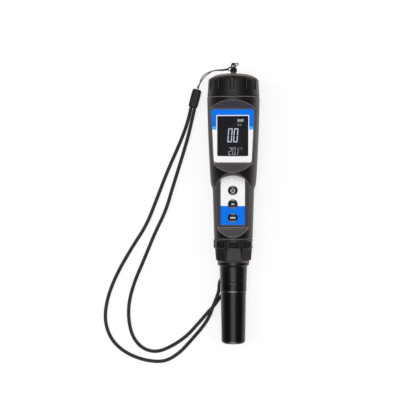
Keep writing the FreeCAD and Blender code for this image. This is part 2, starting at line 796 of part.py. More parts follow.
def display_label():
    """Printed panel round the display window."""
    solid = plan_prism(
        trapezium(LABEL_LO_HALF, LABEL_HI_HALF, LABEL_LO_S, LABEL_HI_S),
        FACET_Z - LABEL_T,
        FACET_Z,
        LABEL_CORNER,
    )
    window = plan_prism(
        trapezium(WINDOW_W / 2 + FIT, WINDOW_W / 2 + FIT, WINDOW_LO - FIT, WINDOW_HI + FIT),
        FACET_Z - 2.0,
        FACET_Z + 1.0,
        LENS_CORNER,
    )
    return solid.cut(window)


def display_window():
    return plan_prism(
        trapezium(WINDOW_W / 2, WINDOW_W / 2, WINDOW_LO, WINDOW_HI),
        FACET_Z - LENS_T,
        FACET_Z,
        LENS_CORNER,
    )


def button_label():
    solid = plan_prism(
        key_label_outline(), KEYS_SEAT_Z, KEYS_Z, KEY_LABEL_CORNER, KEY_LABEL_LO_S + 1.0
    )
    for station in BUTTON_STATIONS:
        solid = solid.cut(Part.makeCylinder(BUTTON_R + FIT, 4.0, Vector(0, station, KEYS_Z - 2.0), OUT))
    return solid


def button(station):
    """Key with a crowned band between two sloping facets, a flange and a plunger below."""
    flange_top = KEYS_INNER_Z - 0.1
    flange_low = flange_top - BUTTON_FLANGE_T
    edge_z = KEYS_Z + BUTTON_STAND
    outline = (
        (0, BOARD_TOP_Z + SWITCH_T + SWITCH_TIP_T + BUTTON_TRAVEL + 0.05),
        (PLUNGER_R, BOARD_TOP_Z + SWITCH_T + SWITCH_TIP_T + BUTTON_TRAVEL + 0.05),
        (PLUNGER_R, flange_low),
        (BUTTON_FLANGE_R, flange_low),
        (BUTTON_FLANGE_R, flange_top),
        (BUTTON_R, flange_top),
        (BUTTON_R, edge_z),
        (crown_middle(BUTTON_R, edge_z, edge_z + BUTTON_CROWN), (0, edge_z + BUTTON_CROWN)),
    )
    edges = edges_of(outline, lambda p: Vector(p[0], 0, p[1]))
    solid = Part.Face(Part.Wire(edges)).revolve(ORIGIN, OUT, 360)
    above = edge_z + 2 * BUTTON_CROWN
    for side in (-1, 1):
        facet = side_prism(
            (
                (side * BUTTON_BAND_HALF, edge_z + BUTTON_CROWN),
                (side * BUTTON_R, KEYS_Z + BUTTON_FACET_LO),
                (side * (BUTTON_R + 1.0), KEYS_Z + BUTTON_FACET_LO),
                (side * (BUTTON_R + 1.0), above),
                (side * BUTTON_BAND_HALF, above),
            ),
            half=BUTTON_R + 1.0,
        )
        solid = solid.cut(facet)
    solid.translate(Vector(0, station, 0))
    return solid


def keypad_mat():
    """Silicone mat over the switches: a sheet on a low skirt, with a hole for each plunger."""
    low_s = BUTTON_STATIONS[-1] - MAT_OVER
    high_s = BUTTON_STATIONS[0] + MAT_OVER
    top = MAT_Z + MAT_T
    solid = block(MAT_HALF, low_s, high_s, BOARD_TOP_Z, top)
    hollow = block(MAT_HALF - MAT_WALL, low_s + MAT_WALL, high_s - MAT_WALL, BOARD_TOP_Z, MAT_Z)
    solid = solid.cut(hollow)
    for station in BUTTON_STATIONS:
        solid = solid.cut(Part.makeCylinder(PLUNGER_R + GAP, 3.0, Vector(0, station, MAT_Z - 1.0), OUT))
    return solid


def tact_switch(station):
    body = block(SWITCH_HALF, station - SWITCH_HALF, station + SWITCH_HALF, BOARD_TOP_Z,
                 BOARD_TOP_Z + SWITCH_T)
    tip = Part.makeCylinder(SWITCH_TIP_R, SWITCH_TIP_T, Vector(0, station, BOARD_TOP_Z + SWITCH_T), OUT)
    return body.fuse(tip)


def screw_places():
    x = BOARD_WIDE_HALF - SCREW_HEAD_R - 0.3
    return [(side * x, station) for station in SCREW_STATIONS for side in (-1, 1)]


def circuit_board():
    half_lo = BOARD_NARROW_HALF
    half_hi = BOARD_WIDE_HALF
    outline = (
        (-half_lo, SOCKET_HI_S),
        (half_lo, SOCKET_HI_S),
        (half_lo, BOARD_STEP_S),
        (half_hi, BOARD_STEP_S + 1.5),
        (half_hi, BOARD_HI_S),
        (-half_hi, BOARD_HI_S),
        (-half_hi, BOARD_STEP_S + 1.5),
        (-half_lo, BOARD_STEP_S),
    )
    solid = plan_prism(outline, BOARD_Z, BOARD_TOP_Z)
    for x, station in screw_places():
        solid = solid.cut(Part.makeCylinder(SCREW_R + FIT, 4.0, Vector(x, station, BOARD_Z - 1.0), OUT))
    return solid


def board_screws():
    screws = []
    for x, station in screw_places():
        head = Part.makeCylinder(SCREW_HEAD_R, SCREW_HEAD_T, Vector(x, station, BOARD_TOP_Z), OUT)
        shank = Part.makeCylinder(SCREW_R, SCREW_L, Vector(x, station, BOARD_TOP_Z - SCREW_L), OUT)
        screws.append(head.fuse(shank))
    return group(screws)


def board_chips():
    display_hi_s = DISPLAY_CHIP_LO_S + 2 * DISPLAY_CHIP_HALF
    probe_hi_s = PROBE_CHIP_LO_S + PROBE_CHIP_L
    chips = [
        block(DISPLAY_CHIP_HALF, DISPLAY_CHIP_LO_S, display_hi_s, BOARD_Z - DISPLAY_CHIP_T, BOARD_Z),
        block(PROBE_CHIP_HALF, PROBE_CHIP_LO_S, probe_hi_s, BOARD_Z - PROBE_CHIP_T, BOARD_Z),
    ]
    return group(chips)


def lcd_panel():
    low_z = FACET_INNER_Z - 0.1 - LCD_T
    return block(LCD_HALF, LCD_LO_S, BOARD_HI_S, low_z, low_z + LCD_T)


def backlight():
    high_z = FACET_INNER_Z - 0.1 - LCD_T
    return block(LCD_HALF, BACKLIGHT_LO_S, BOARD_HI_S, BOARD_TOP_Z, high_z)


def lcd_strip():
    """Rubber contact strip between the board and the display's lower edge."""
    high_z = FACET_INNER_Z - 0.1 - LCD_T
    return block(LCD_HALF - 1.5, LCD_LO_S + 0.3, LCD_LO_S + 0.3 + STRIP_W, BOARD_TOP_Z, high_z)


def inner_frame():
    """Half-round cradle that carries the board and stops the battery carrier."""
    solid = tube(FRAME_R, FRAME_BORE_R, FRAME_LO_S, CARRIER_FLANGE_S)
    solid = solid.cut(block(30.0, FRAME_LO_S - 1.0, CARRIER_FLANGE_S + 1.0, BOARD_Z, 30.0))
    floor = tube(FRAME_R, 0, FRAME_LO_S, FRAME_LO_S + FRAME_FLOOR)
    floor = floor.common(block(30.0, FRAME_LO_S, FRAME_LO_S + FRAME_FLOOR, -30.0, BOARD_Z))
    solid = solid.fuse(floor)
    for x, station in screw_places():
        post = Part.makeCylinder(SCREW_HEAD_R, FRAME_R, Vector(x, station, BOARD_Z - FRAME_R), OUT)
        solid = solid.fuse(post.common(tube(FRAME_R, 0, station - 4.0, station + 4.0)))
    for x, station in screw_places():
        solid = solid.cut(
            Part.makeCylinder(SCREW_R, SCREW_L, Vector(x, station, BOARD_TOP_Z - SCREW_L), OUT)
        )
    solid = solid.cut(rest_cutter())
    return solid.removeSplitter()


def battery_carrier():
    solid = turned(
        (0, CARRIER_LO_S),
        (CARRIER_R, CARRIER_LO_S),
        (CARRIER_R, CARRIER_FLANGE_S),
        (CARRIER_FLANGE_R, CARRIER_FLANGE_S),
        (CARRIER_FLANGE_R, MOUTH_S - 0.3),
        (CARRIER_BORE_R, MOUTH_S - 0.3),
        (CARRIER_BORE_R, CARRIER_LO_S + CARRIER_FLOOR),
        (0, CARRIER_LO_S + CARRIER_FLOOR),
    )
    pocket = tube(CARRIER_FLANGE_R - 1.2, CARRIER_R + 1.2, CARRIER_FLANGE_S + 1.2, MOUTH_S)
    for rib in range(6):
        web = block(0.6, CARRIER_FLANGE_S, MOUTH_S, 0.0, 20.0)
        pocket = pocket.cut(spun(web, 60.0 * rib + 30.0))
    return solid.cut(pocket)


def cell_spring():
    """Conical contact under the lowest cell."""
    low = CARRIER_LO_S + CARRIER_FLOOR
    return turned(
        (0, low),
        (4.6, low),
        (4.6, low + 0.4),
        (2.4, low + SPRING_T),
        (0, low + SPRING_T),
    )


def button_cell(index):
    low = CELL_LO_S + index * CELL_T
    return turned(
        (0, low),
        (CELL_R - 1.0, low),
        (CELL_R - 1.0, low + CELL_EDGE),
        (CELL_R - CELL_EDGE, low + CELL_EDGE),
        (CELL_R, low + 2 * CELL_EDGE),
        (CELL_R, low + CELL_T - CELL_EDGE),
        (CELL_R - CELL_EDGE, low + CELL_T),
        (0, low + CELL_T),
    )


def probe_socket():
    """Receptacle at the foot of the board that takes the electrode's pins."""
    solid = tube(NECK_BORE_LO_R - FIT, 0, LEDGE_S, SOCKET_HI_S)
    for pin in range(PIN_COUNT):
        hole = Part.makeCylinder(PIN_R + FIT, PIN_L, Vector(PIN_RING_R, LEDGE_S - 1.0, 0), AXIS)
        solid = solid.cut(spun(hole, 360.0 * pin / PIN_COUNT))
    return solid.cut(keys_cutter(KEYS_WALL + 0.1, KEYS_WALL + 0.1))


def contact_plate():
    """Sprung disc that hangs in the battery cap and presses on the top cell."""
    return turned(
        (0, CELL_TOP_S + GAP),
        (0.8, CELL_TOP_S + GAP),
        (DIMPLE_R, PLATE_S),
        (PLATE_R, PLATE_S),
        (PLATE_R, PLATE_S + PLATE_T),
        (PLATE_HUB_R, PLATE_S + PLATE_T),
        (PLATE_HUB_R, PLATE_HUB_TOP_S),
        (0, PLATE_HUB_TOP_S),
    )


def battery_cap():
    """Domed screw cap with grip grooves and the lanyard lug."""
    solid = turned(
        (CAP_BORE_R, SKIRT_LO_S),
        (SKIRT_LO_R - 0.3, SKIRT_LO_S),
        (SKIRT_LO_R, SKIRT_LO_S + 0.3),
        (SKIRT_HI_R, SKIRT_TOP_S),
        ((SKIRT_HI_R - 0.35, SKIRT_TOP_S + 1.1), (DOME_EDGE_R, DOME_EDGE_S)),
        ((DOME_BEND_R, DOME_BEND_S), (DOME_CROWN_R, DOME_CROWN_S)),
        (crown_middle(DOME_CROWN_R, DOME_CROWN_S, DOME_TOP_S), (0, DOME_TOP_S)),
        (0, PLATE_HUB_TOP_S + 0.2),
        (PLATE_HUB_R + FIT, PLATE_HUB_TOP_S + 0.2),
        (PLATE_HUB_R + FIT, BOSS_S),
        (BOSS_R, BOSS_S),
        (BOSS_R, CAP_CEILING_S),
        (CAP_CEILING_R, CAP_CEILING_S),
        (CAP_BORE_R, MOUTH_S + 0.6),
    )
    groove = block(GROOVE_W / 2, GROOVE_LO_S + GROOVE_W / 2, DOME_TOP_S, 0.0, 30.0)
    groove = groove.fuse(
        Part.makeCylinder(GROOVE_W / 2, 30.0, Vector(0, GROOVE_LO_S + GROOVE_W / 2, 0), OUT)
    )
    floor = turned(
        (0, GROOVE_LO_S - 1.0),
        (SKIRT_LO_R - GROOVE_DEPTH - 0.45, GROOVE_LO_S - 1.0),
        (SKIRT_HI_R - GROOVE_DEPTH, SKIRT_TOP_S),
        (SKIRT_HI_R - GROOVE_DEPTH, DOME_TOP_S + 1.0),
        (0, DOME_TOP_S + 1.0),
    )
    groove = groove.cut(floor)
    for place in range(GROOVES):
        solid = solid.cut(spun(groove, 360.0 * place / GROOVES))
    return solid.fuse(lug()).removeSplitter()


def lug():
    """Flat eye on top of the battery cap."""
    half = LUG_W / 2
    low = DOME_TOP_S - 0.6
    outline = (
        (-half - 0.5, low),
        (half + 0.5, low),
        ((half + 0.12, low + 1.2), (half - 0.25, low + 2.6)),
        (half, LUG_TOP_S - half),
        ((0, LUG_TOP_S), (-half, LUG_TOP_S - half)),
        (-half + 0.25, low + 2.6),
        ((-half - 0.12, low + 1.2), (-half - 0.5, low)),
    )
    solid = plan_prism(outline, -LUG_T / 2, LUG_T / 2)
    eye = Part.makeCylinder(LUG_EYE_R, 2 * LUG_T, Vector(0, LUG_EYE_S, -LUG_T), OUT)
    return solid.cut(eye)


def string_hitch():
    """Loop of string through the eye of the lug."""
    return Part.makeTorus(HITCH_R, STRING_D / 2, Vector(-HITCH_R, LUG_EYE_S, 0), AXIS)


def cord_path(route):
    """Straight runs joined by tangent arcs, with the arcs' radii."""
    points = [Vector(*place) for place in route]
    edges = []
    radii = []
    here = points[0]
    for before, corner, after in zip(points, points[1:], points[2:]):
        to_corner = corner - before
        from_corner = after - corner
        run = min(to_corner.Length, from_corner.Length)
        to_corner.normalize()
        from_corner.normalize()
        turn = to_corner.getAngle(from_corner)
        set_back = 0.45 * run
        radius = set_back / math.tan(turn / 2)
        radii.append(radius)
        start = corner - to_corner * set_back
        end = corner + from_corner * set_back
        inward = from_corner - to_corner
        inward.normalize()
        reach = radius / math.cos(turn / 2) - radius
        edges.append(Part.LineSegment(here, start).toShape())
        edges.append(Part.Arc(start, corner + inward * reach, end).toShape())
        here = end
    edges.append(Part.LineSegment(here, points[-1]).toShape())
    return Part.Wire(edges), radii


def cord_tube(name, route, diameter):
    path, radii = cord_path(route)
    heading = Vector(*route[1]) - Vector(*route[0])
    section = Part.Wire(Part.makeCircle(diameter / 2, Vector(*route[0]), heading))
    solid = path.makePipeShell([section], True, False)
    expected = math.pi * diameter ** 2 / 4 * path.Length
    print(name, "length", round(path.Length, 1), "smallest radius", round(min(radii), 1),
          "volume against section times length", round(solid.Volume / expected, 4))
    return solid


def lanyard_sleeve():
    """Oval moulded sleeve that joins the thin string to the thick cord."""
    top = Vector(SLEEVE_TOP[0], SLEEVE_TOP[1], 0)
    bottom = Vector(SLEEVE_BOTTOM[0], SLEEVE_BOTTOM[1], 0)
    along = top - bottom
    length = along.Length
    shoulder = length - SLEEVE_CORNER
    waist = length * SLEEVE_WAIST
    solid = plan_prism(
        (
            (-SLEEVE_LO_W / 2, 0),
            (SLEEVE_LO_W / 2, 0),
            ((SLEEVE_W / 2, waist), (SLEEVE_HI_W / 2, shoulder)),
            (SLEEVE_HI_W / 2 - SLEEVE_CORNER, length),
            (SLEEVE_CORNER - SLEEVE_HI_W / 2, length),
            (-SLEEVE_HI_W / 2, shoulder),
            ((-SLEEVE_W / 2, waist), (-SLEEVE_LO_W / 2, 0)),
        ),
        0,
        SLEEVE_H,
    )
    flat_edges = [e for e in solid.Edges if e.BoundBox.ZLength < 1e-6]
    solid = solid.makeFillet(SLEEVE_EDGE, flat_edges)
    solid.rotate(ORIGIN, OUT, -math.degrees(math.atan2(along.x, along.y)))
    solid.translate(bottom)
    return solid


def on_the_ground(solid):
    """Move a piece from the pen's frame to where the pen lies on its back."""
    placed = solid.copy()
    placed.rotate(ORIGIN, Vector(1, 0, 0), math.degrees(TILT))
    placed.translate(Vector(0, -Y_MIDDLE, REST_AT_TIP * math.cos(TILT)))
    return placed


def pen_pieces():
    pieces = {
        "storage_cap": storage_cap(),
        "cap_seal": seal_ring(CAP_SOCKET_R - SEAL_GAP, CAP_SEAL_S),
        "probe_stem": probe_stem(),
        "probe_pins": probe_pins(),
        "probe_guard": probe_guard(),
        "sensor_core": sensor_core(),
        "sensing_rings": sensing_rings(),
        "temperature_sensor": temperature_sensor(),
        "plug_seals": plug_seals(),
        "collar_washer": collar_washer(),
        "lock_collar": lock_collar(),
        "housing": housing(),
        "probe_socket": probe_socket(),
        "display_label": display_label(),
        "display_window": display_window(),
        "button_label": button_label(),
        "keypad_mat": keypad_mat(),
        "circuit_board": circuit_board(),
        "board_screws": board_screws(),
        "board_chips": board_chips(),
        "lcd_panel": lcd_panel(),
        "lcd_backlight": backlight(),
        "lcd_strip": lcd_strip(),
        "inner_frame": inner_frame(),
        "battery_carrier": battery_carrier(),
        "cell_spring": cell_spring(),
        "neck_seal": seal_ring(CAP_BORE_R - SEAL_GAP, NECK_SEAL_S),
        "contact_plate": contact_plate(),
        "battery_cap": battery_cap(),
        "string_hitch": string_hitch(),
    }
    for name, station in zip(BUTTON_NAMES, BUTTON_STATIONS):
        pieces[name] = button(station)
        pieces[name.replace("button", "switch")] = tact_switch(station)
    for index in range(CELL_COUNT):
        pieces["button_cell_%d" % (index + 1)] = button_cell(index)
    return pieces


def lanyard_pieces():
    return {
        "string_a": cord_tube("string_a", STRING_A_ROUTE, STRING_D),
        "string_b": cord_tube("string_b", STRING_B_ROUTE, STRING_D),
        "lanyard_sleeve": lanyard_sleeve(),
        "lanyard_cord": cord_tube("lanyard_cord", CORD_ROUTE, CORD_D),
    }


def main():
    os.makedirs("parts", exist_ok=True)
    pieces = {name: on_the_ground(solid) for name, solid in pen_pieces().items()}
    pieces.update(lanyard_pieces())
    for name, shape in pieces.items():
        if not shape.isValid() or not shape.Solids:
            raise RuntimeError(name + " is not a valid solid")
        shape.exportStep("parts/" + name + ".step")
    print(len(pieces), "nodes; tilt", round(math.degrees(TILT), 4), "middle", round(Y_MIDDLE, 4),
          "axis height at the tip", round(REST_AT_TIP * math.cos(TILT), 4))


main()
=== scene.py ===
import json
import math

import bpy
from mathutils import Matrix, Vector

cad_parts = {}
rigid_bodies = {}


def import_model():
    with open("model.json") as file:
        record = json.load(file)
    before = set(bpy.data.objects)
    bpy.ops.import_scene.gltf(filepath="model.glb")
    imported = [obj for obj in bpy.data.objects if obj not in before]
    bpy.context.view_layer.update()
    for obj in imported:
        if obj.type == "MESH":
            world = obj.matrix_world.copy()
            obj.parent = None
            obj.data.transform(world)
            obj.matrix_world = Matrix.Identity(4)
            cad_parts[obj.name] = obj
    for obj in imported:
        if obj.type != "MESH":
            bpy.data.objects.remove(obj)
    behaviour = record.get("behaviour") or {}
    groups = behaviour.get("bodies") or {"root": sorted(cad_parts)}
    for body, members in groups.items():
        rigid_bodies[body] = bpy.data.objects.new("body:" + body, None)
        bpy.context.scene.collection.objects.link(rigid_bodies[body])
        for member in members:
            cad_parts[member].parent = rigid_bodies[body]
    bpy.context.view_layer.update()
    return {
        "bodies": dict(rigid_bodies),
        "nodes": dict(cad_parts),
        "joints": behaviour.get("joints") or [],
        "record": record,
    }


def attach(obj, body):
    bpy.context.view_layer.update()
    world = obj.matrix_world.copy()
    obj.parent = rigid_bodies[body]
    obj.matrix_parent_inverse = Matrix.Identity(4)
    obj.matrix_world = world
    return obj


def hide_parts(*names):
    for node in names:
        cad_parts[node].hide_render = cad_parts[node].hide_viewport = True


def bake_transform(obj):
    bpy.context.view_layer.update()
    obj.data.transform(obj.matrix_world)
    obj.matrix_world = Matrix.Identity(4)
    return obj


# Pen-type conductivity meter on its back with its wrist lanyard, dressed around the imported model.
# Lengths are in millimetres until a piece is placed in the frame, which is in metres.

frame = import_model()

MM = 0.001
UP = Vector((0, 0, 1))

# The pen's own frame: X across, Y the station along the axis from the storage cap's tip, Z the
# height out of the display. The pen lies tilted on the narrow flat of its back.
PEN_TILT = math.radians(2.3392)
PEN_MIDDLE = 101.7081
PEN_AXIS_HEIGHT = 11.4202
PEN_ORIGIN = Vector((0, -PEN_MIDDLE, PEN_AXIS_HEIGHT))
PEN_PLACE = (
    Matrix.Scale(MM, 4) @ Matrix.Translation(PEN_ORIGIN) @ Matrix.Rotation(PEN_TILT, 4, "X")
)

# Camera, above the meter and a little to its right, aimed at a point on the level of the axis
AIM_X = -18.8
AIM_Y = -3.16
AIM_HEIGHT = 11.4
CAMERA_HEIGHT = 1015.4
CAMERA_SWING = math.radians(4.0)
CAMERA_ROLL = math.radians(0.14)
CAMERA_SENSOR = 36.0
CAMERA_LENS = 119.26

# Light that the dim studio gives, where white is 1
STUDIO_LEVEL = 0.09

# Lamps: place and size in metres, power in watts, and whether glossy surfaces show them
LAMPS = {
    "overhead_strip": ((0.0, 0.0, 1.7), (1.2, 2.4), 17.0, True),
    "left_bank": ((-1.3, 0.2, 1.1), (0.8, 1.6), 12.2, False),
    "right_bank": ((1.3, 0.2, 1.1), (0.8, 1.6), 12.2, False),
}

# White floor, in metres, which gives most of its light in a band by the meter
FLOOR_HALF = 3.0
FLOOR_NEAR = 0.05
FLOOR_FADE = 0.08
FLOOR_GLOW = 0.74
FLOOR_DULL = (0.30, 0.30, 0.30, 1)
FLOOR_PALE = (0.32, 0.32, 0.32, 1)
FLOOR_WARM = (1.0, 0.86, 0.80, 1)
PLAIN_WHITE = (1, 1, 1, 1)

# Labels: the window's half width and upper end, the white and black prints round it, the stations
# above which the upper label is pale blue or blue and the lower one white, the half width of the
# lower print, and a station between the two labels
WINDOW_HALF = 11.1
WINDOW_HI = 164.7
FRAME_PRINT = 0.6
BEZEL_PRINT = 0.5
PALE_BAND_S = 155.35
BLUE_BAND_S = 157.65
KEYS_BLUE_S = 100.5
KEYS_PRINT_HALF = 8.75
LABEL_GAP_S = 128.0

# Digits of the display: each one's place across, and each row's station, width, height and stroke.
# The gap between two bars, their shoulders and the points of the middle bar are shares of the stroke.
LCD_TOP_Z = 7.5
LCD_MARK_THICKNESS = 0.06
DIGIT_LEAN = 0.08
BAR_GAP = 0.12
BAR_SHOULDER = 0.4
BAR_POINT = 0.6
READING_ROW = (("0", -2.1), ("0", 2.05))
READING_SIZES = (151.3, 3.15, 10.0, 0.68)
TEMPERATURE_ROW = (("2", -2.0), ("0", 0.75), ("1", 2.75))
TEMPERATURE_SIZES = (139.9, 2.2, 5.3, 0.42)

# Blocks of the display and the keys: place across, station, width, height and corner
DECIMAL_POINT = (2.25, 137.4, 0.45, 0.45, 0.12)
UNIT_BLOCKS = ((4.0, 158.8, 1.2, 1.8, 0.3), (5.6, 158.8, 1.0, 1.6, 0.3))
BADGE_CELLS = 4
BADGE_X = 3.7
BADGE_PITCH = 1.15
BADGE_BLOCK = (162.0, 0.95, 2.0, 0.25)
BUTTON_TOP_Z = 9.5
KEY_MARK_SUNK = 0.12
KEY_MARK_THICKNESS = 0.15
POWER_BAR = (0, 112.6, 0.45, 1.5, 0.2)
HOLD_BAR = (0, 101.8, 2.3, 0.85, 0.35)
MODE_BAR = (0, 92.0, 3.9, 0.9, 0.35)

# Round bands: place across, station, radius, stroke, and the degrees where they start and end
DEGREE_BANDS = (
    (5.3, 142.2, 0.42, 0.26, 0, 180),
    (5.3, 142.2, 0.42, 0.26, 180, 360),
    (6.6, 141.6, 0.7, 0.3, 50, 310),
)
POWER_BAND = (0, 111.6, 1.35, 0.45, 128, 412)
BAND_STEPS = 24
CORNER_STEPS = 4

# Painted highlights on the crown of the storage cap, as rings: station, half length and shade
STORAGE_GLINTS = ((38.4, 0.45, 160), (44.4, 0.3, 104), (1.0, 0.9, 140))

# Windows round the lock collar: their stations and the radius of their floors
COLLAR_WINDOW_S = 72.45
COLLAR_WINDOW_HALF = 2.2
COLLAR_FLOOR_R = 13.8

# Grip grooves of the battery cap: how many, how many degrees each wall lies off the groove's middle
# and spreads, and the stations between which they run
GROOVES = 12
GROOVE_WALL = 3.7
GROOVE_WALL_HALF = 0.9
GROOVE_LO_S = 184.0
GROOVE_HI_S = 191.4

# Band of the battery cap's dome painted paler as a painted reflection: the station where it starts over
# the axis, how that falls with the square of the way across, the station where it ends, and where the
# dome's dull part starts
DOME_S = 193.9
DOME_BOW = 0.0065
DOME_TOP_S = 196.8
DOME_LOW_S = 191.9

# Screw ridges: radius, first and last station, rise and width. The pitch is the travel of the cap and
# the collar per turn. A ridge runs out over a sixth of a turn, and its profile is in shares of its
# width and rise.
THREADS = {
    "neck_thread": (15.5, 183.0, 189.6, 0.2, 1.3),
    "spigot_thread": (12.3, 67.4, 75.4, 0.12, 1.2),
}
THREAD_PITCH = 3.0
THREAD_STEPS = 72
THREAD_PROFILE = ((-0.5, -0.05), (-0.22, 1.0), (0.22, 1.0), (0.5, -0.05))
THREAD_RUNOUTS = 6

# Thick cord: its tube, and how many yarns go round it and cross over in a millimetre of it. A tube's
# end stands out by one share of its radius, and is drawn in to the other.
CORD_D = 2.6
CORD_SIDES = 16
CORD_STEPS = 16
CORD_YARNS = 8.0
CORD_LAY = 1.05
TUBE_END_OUT = 0.4
TUBE_END_IN = 0.6

# Thin string: the plies' number and pitch, and the radii of a ply and of its helix as shares of a
# quarter of the string's width, for the free strings and for the tighter hitch
STRING_D = 0.95
STRING_STEPS = 32
STRING_PLIES = 2
STRING_PITCH = 2.3
STRING_LAY = (1.05, 0.9)
KNOT_LAY = (0.95, 0.75)
PLY_SIDES = 8

# Sleeve: its size and ends, the swell of its sides, how square its section is, how much less its top
# is drawn in than its sides, and the shares of its corner and length at which a ring of points lies
SLEEVE_W = 6.5
SLEEVE_H = 4.4
SLEEVE_CORNER = 1.5
SLEEVE_LOW = (-31.05, 70.5)
SLEEVE_HIGH = (-27.5, 84.3)
SLEEVE_SWELL = 0.25
SLEEVE_SQUARENESS = 3.2
SLEEVE_TOP_DRAWN = 0.8
SLEEVE_SIDES = 40
SLEEVE_END_SHARES = (0.0, 0.08, 0.25, 0.5, 0.75, 1.0)
SLEEVE_MIDDLE_SHARES = (0.25, 0.4, 0.55, 0.7, 0.85)

# Routes of the two strings and the cord: the part's points, some moved to follow the photograph
STRING_A_ROUTE = (
    (-26.85, 84.75, 2.2),
    (-26.2, 87.4, 1.4),
    (-25.1, 91.4, 1.4),
    (-23.1, 94.3, 3.4),
    (-19.3, 96.3, 7.4),
    (-14.1, 97.2, 11.9),
    (-9.8, 96.8, 15.5),
    (-6.7, 96.6, 17.9),
    (-4.0, 97.0, 19.1),
)
STRING_B_ROUTE = (
    (-27.8, 85.1, 2.2),
    (-26.6, 87.0, 3.4),
    (-23.9, 91.0, 3.4),
    (-21.3, 93.9, 5.6),
    (-18.1, 95.6, 9.3),
    (-14.7, 97.1, 13.1),
    (-10.5, 97.1, 16.5),
    (-7.0, 97.0, 18.8),
    (-4.2, 97.6, 20.0),
)
CORD_ROUTE = (
    (-32.3, 70.3, 2.0),
    (-34.4, 60.5, 1.3),
    (-40.7, 44.0, 1.3),
    (-49.9, 23.4, 1.3),
    (-58.0, 2.0, 1.3),
    (-65.3, -16.4, 1.3),
    (-76.0, -32.6, 1.3),
    (-87.8, -53.3, 1.3),
    (-94.5, -71.1, 1.3),
    (-96.2, -87.0, 1.3),
    (-91.5, -100.6, 1.3),
    (-81.5, -110.0, 1.3),
    (-67.1, -115.9, 1.3),
    (-51.5, -117.2, 1.3),
    (-40.3, -110.3, 1.3),
    (-31.7, -100.8, 1.3),
    (-22.5, -90.1, 1.3),
    (-18.1, -82.8, 1.9),
    (-15.8, -76.3, 4.6),
    (-13.2, -70.2, 4.6),
    (-11.0, -63.7, 2.2),
    (-11.1, -57.5, 1.3),
    (-7.6, -52.9, 1.3),
    (-1.4, -52.6, 1.3),
    (3.2, -56.8, 1.3),
    (3.5, -63.0, 1.3),
    (-0.6, -67.6, 1.3),
    (-5.9, -64.8, 1.3),
    (-10.2, -68.4, 1.3),
    (-14.1, -74.4, 1.3),
    (-19.3, -79.9, 1.3),
    (-26.6, -88.5, 1.3),
    (-35.1, -97.9, 1.3),
    (-45.8, -105.2, 1.3),
    (-56.8, -109.9, 1.3),
    (-67.1, -107.8, 1.3),
    (-74.9, -99.7, 1.3),
    (-78.3, -87.2, 1.3),
    (-78.2, -73.2, 1.3),
    (-74.1, -58.1, 1.3),
    (-66.4, -40.4, 1.3),
    (-59.0, -22.0, 1.3),
    (-50.9, -5.7, 1.3),
    (-45.4, 13.0, 1.3),
    (-39.1, 33.3, 1.3),
    (-34.3, 49.5, 1.3),
    (-31.6, 61.7, 1.3),
    (-29.6, 69.9, 2.0),
)

# Hitch on the lug, in the pen's own frame: where its turns begin, their number and distance, how far
# they reach to each side, and the routes of the string into them, of a second strand beside it, of
# the open loop after them and of the tail laid over them
KNOT_STEPS = 12
KNOT_TURN_S = 199.6
KNOT_TURNS = 5
KNOT_STEP = 0.58
KNOT_RIGHT = 2.15
KNOT_LEFT = -2.1
KNOT_DEPTH = 1.75
KNOT_LEAD_IN = (
    (-4.4, 198.6, -0.4),
    (-3.4, 199.5, 0.7),
    (-1.9, 200.6, 1.9),
)
KNOT_SECOND = (
    (-4.6, 198.8, 0.0),
    (-3.4, 199.9, 0.9),
    (-2.2, 200.8, 1.8),
    (-0.6, 200.9, 2.2),
)
KNOT_LOOP = (
    (0.2, 199.8, -2.0),
    (0.0, 201.3, -1.6),
    (0.0, 201.3, 1.4),
    (0.3, 202.4, 2.1),
    (1.5, 203.3, 1.5),
    (3.6, 203.3, 0.4),
    (3.5, 202.2, 0.4),
    (1.6, 201.2, 2.0),
)
KNOT_TAIL = (
    (-4.3, 199.7, 0.3),
    (-4.3, 198.9, 0.8),
    (-3.5, 198.1, 1.0),
    (-2.4, 197.8, 1.4),
    (-1.1, 198.4, 2.3),
    (0.2, 199.5, 2.6),
    (0.9, 200.6, 2.6),
    (0.4, 201.4, 2.2),
    (0.1, 201.3, 1.0),
)


def screen_colour(red, green, blue):
    """A colour given in screen values from 0 to 255, as the renderer's linear colour."""
    linear = []
    for value in (red, green, blue):
        share = value / 255
        linear.append(share / 12.92 if share <= 0.04045 else ((share + 0.055) / 1.055) ** 2.4)
    return (*linear, 1.0)


# Shader maths


class Signal:
    """A socket in a finish. Python's operators on it add the finish's Math nodes."""

    def __init__(self, finish, socket):
        self.finish = finish
        self.socket = socket

    def math(self, operation, *others, clamp=False):
        """The result of a Math node on this value and others."""
        values = dict(enumerate((self,) + others))
        settings = {"operation": operation, "use_clamp": clamp}
        return self.finish.node("ShaderNodeMath", settings, values)

    def __add__(self, other):
        return self.math("ADD", other)

    __radd__ = __add__

    def __sub__(self, other):
        return self.math("SUBTRACT", other)

    def __rsub__(self, other):
        return (self * -1) + other

    def __mul__(self, other):
        return self.math("MULTIPLY", other)

    def __mod__(self, other):
        return self.math("FLOORED_MODULO", other)

    def __pow__(self, other):
        return self.math("POWER", other)

    def __abs__(self):
        return self.math("ABSOLUTE")

    def floor(self):
        return self.math("FLOOR")

    def sine(self):
        return self.math("SINE")

    def higher_of(self, other):
        return self.math("MAXIMUM", other)

    def above(self, edge, blur):
        """1 where the value is above edge and 0 below, over a ramp as wide as blur."""
        return self.math("MULTIPLY_ADD", 1 / blur, 0.5 - edge / blur, clamp=True)

    def within(self, half, blur):
        """1 where the value lies between -half and half."""
        return 1 - abs(self).above(half, blur)

    def output(self, name):
        """Another output of this value's node."""
        return Signal(self.finish, self.socket.node.outputs[name])


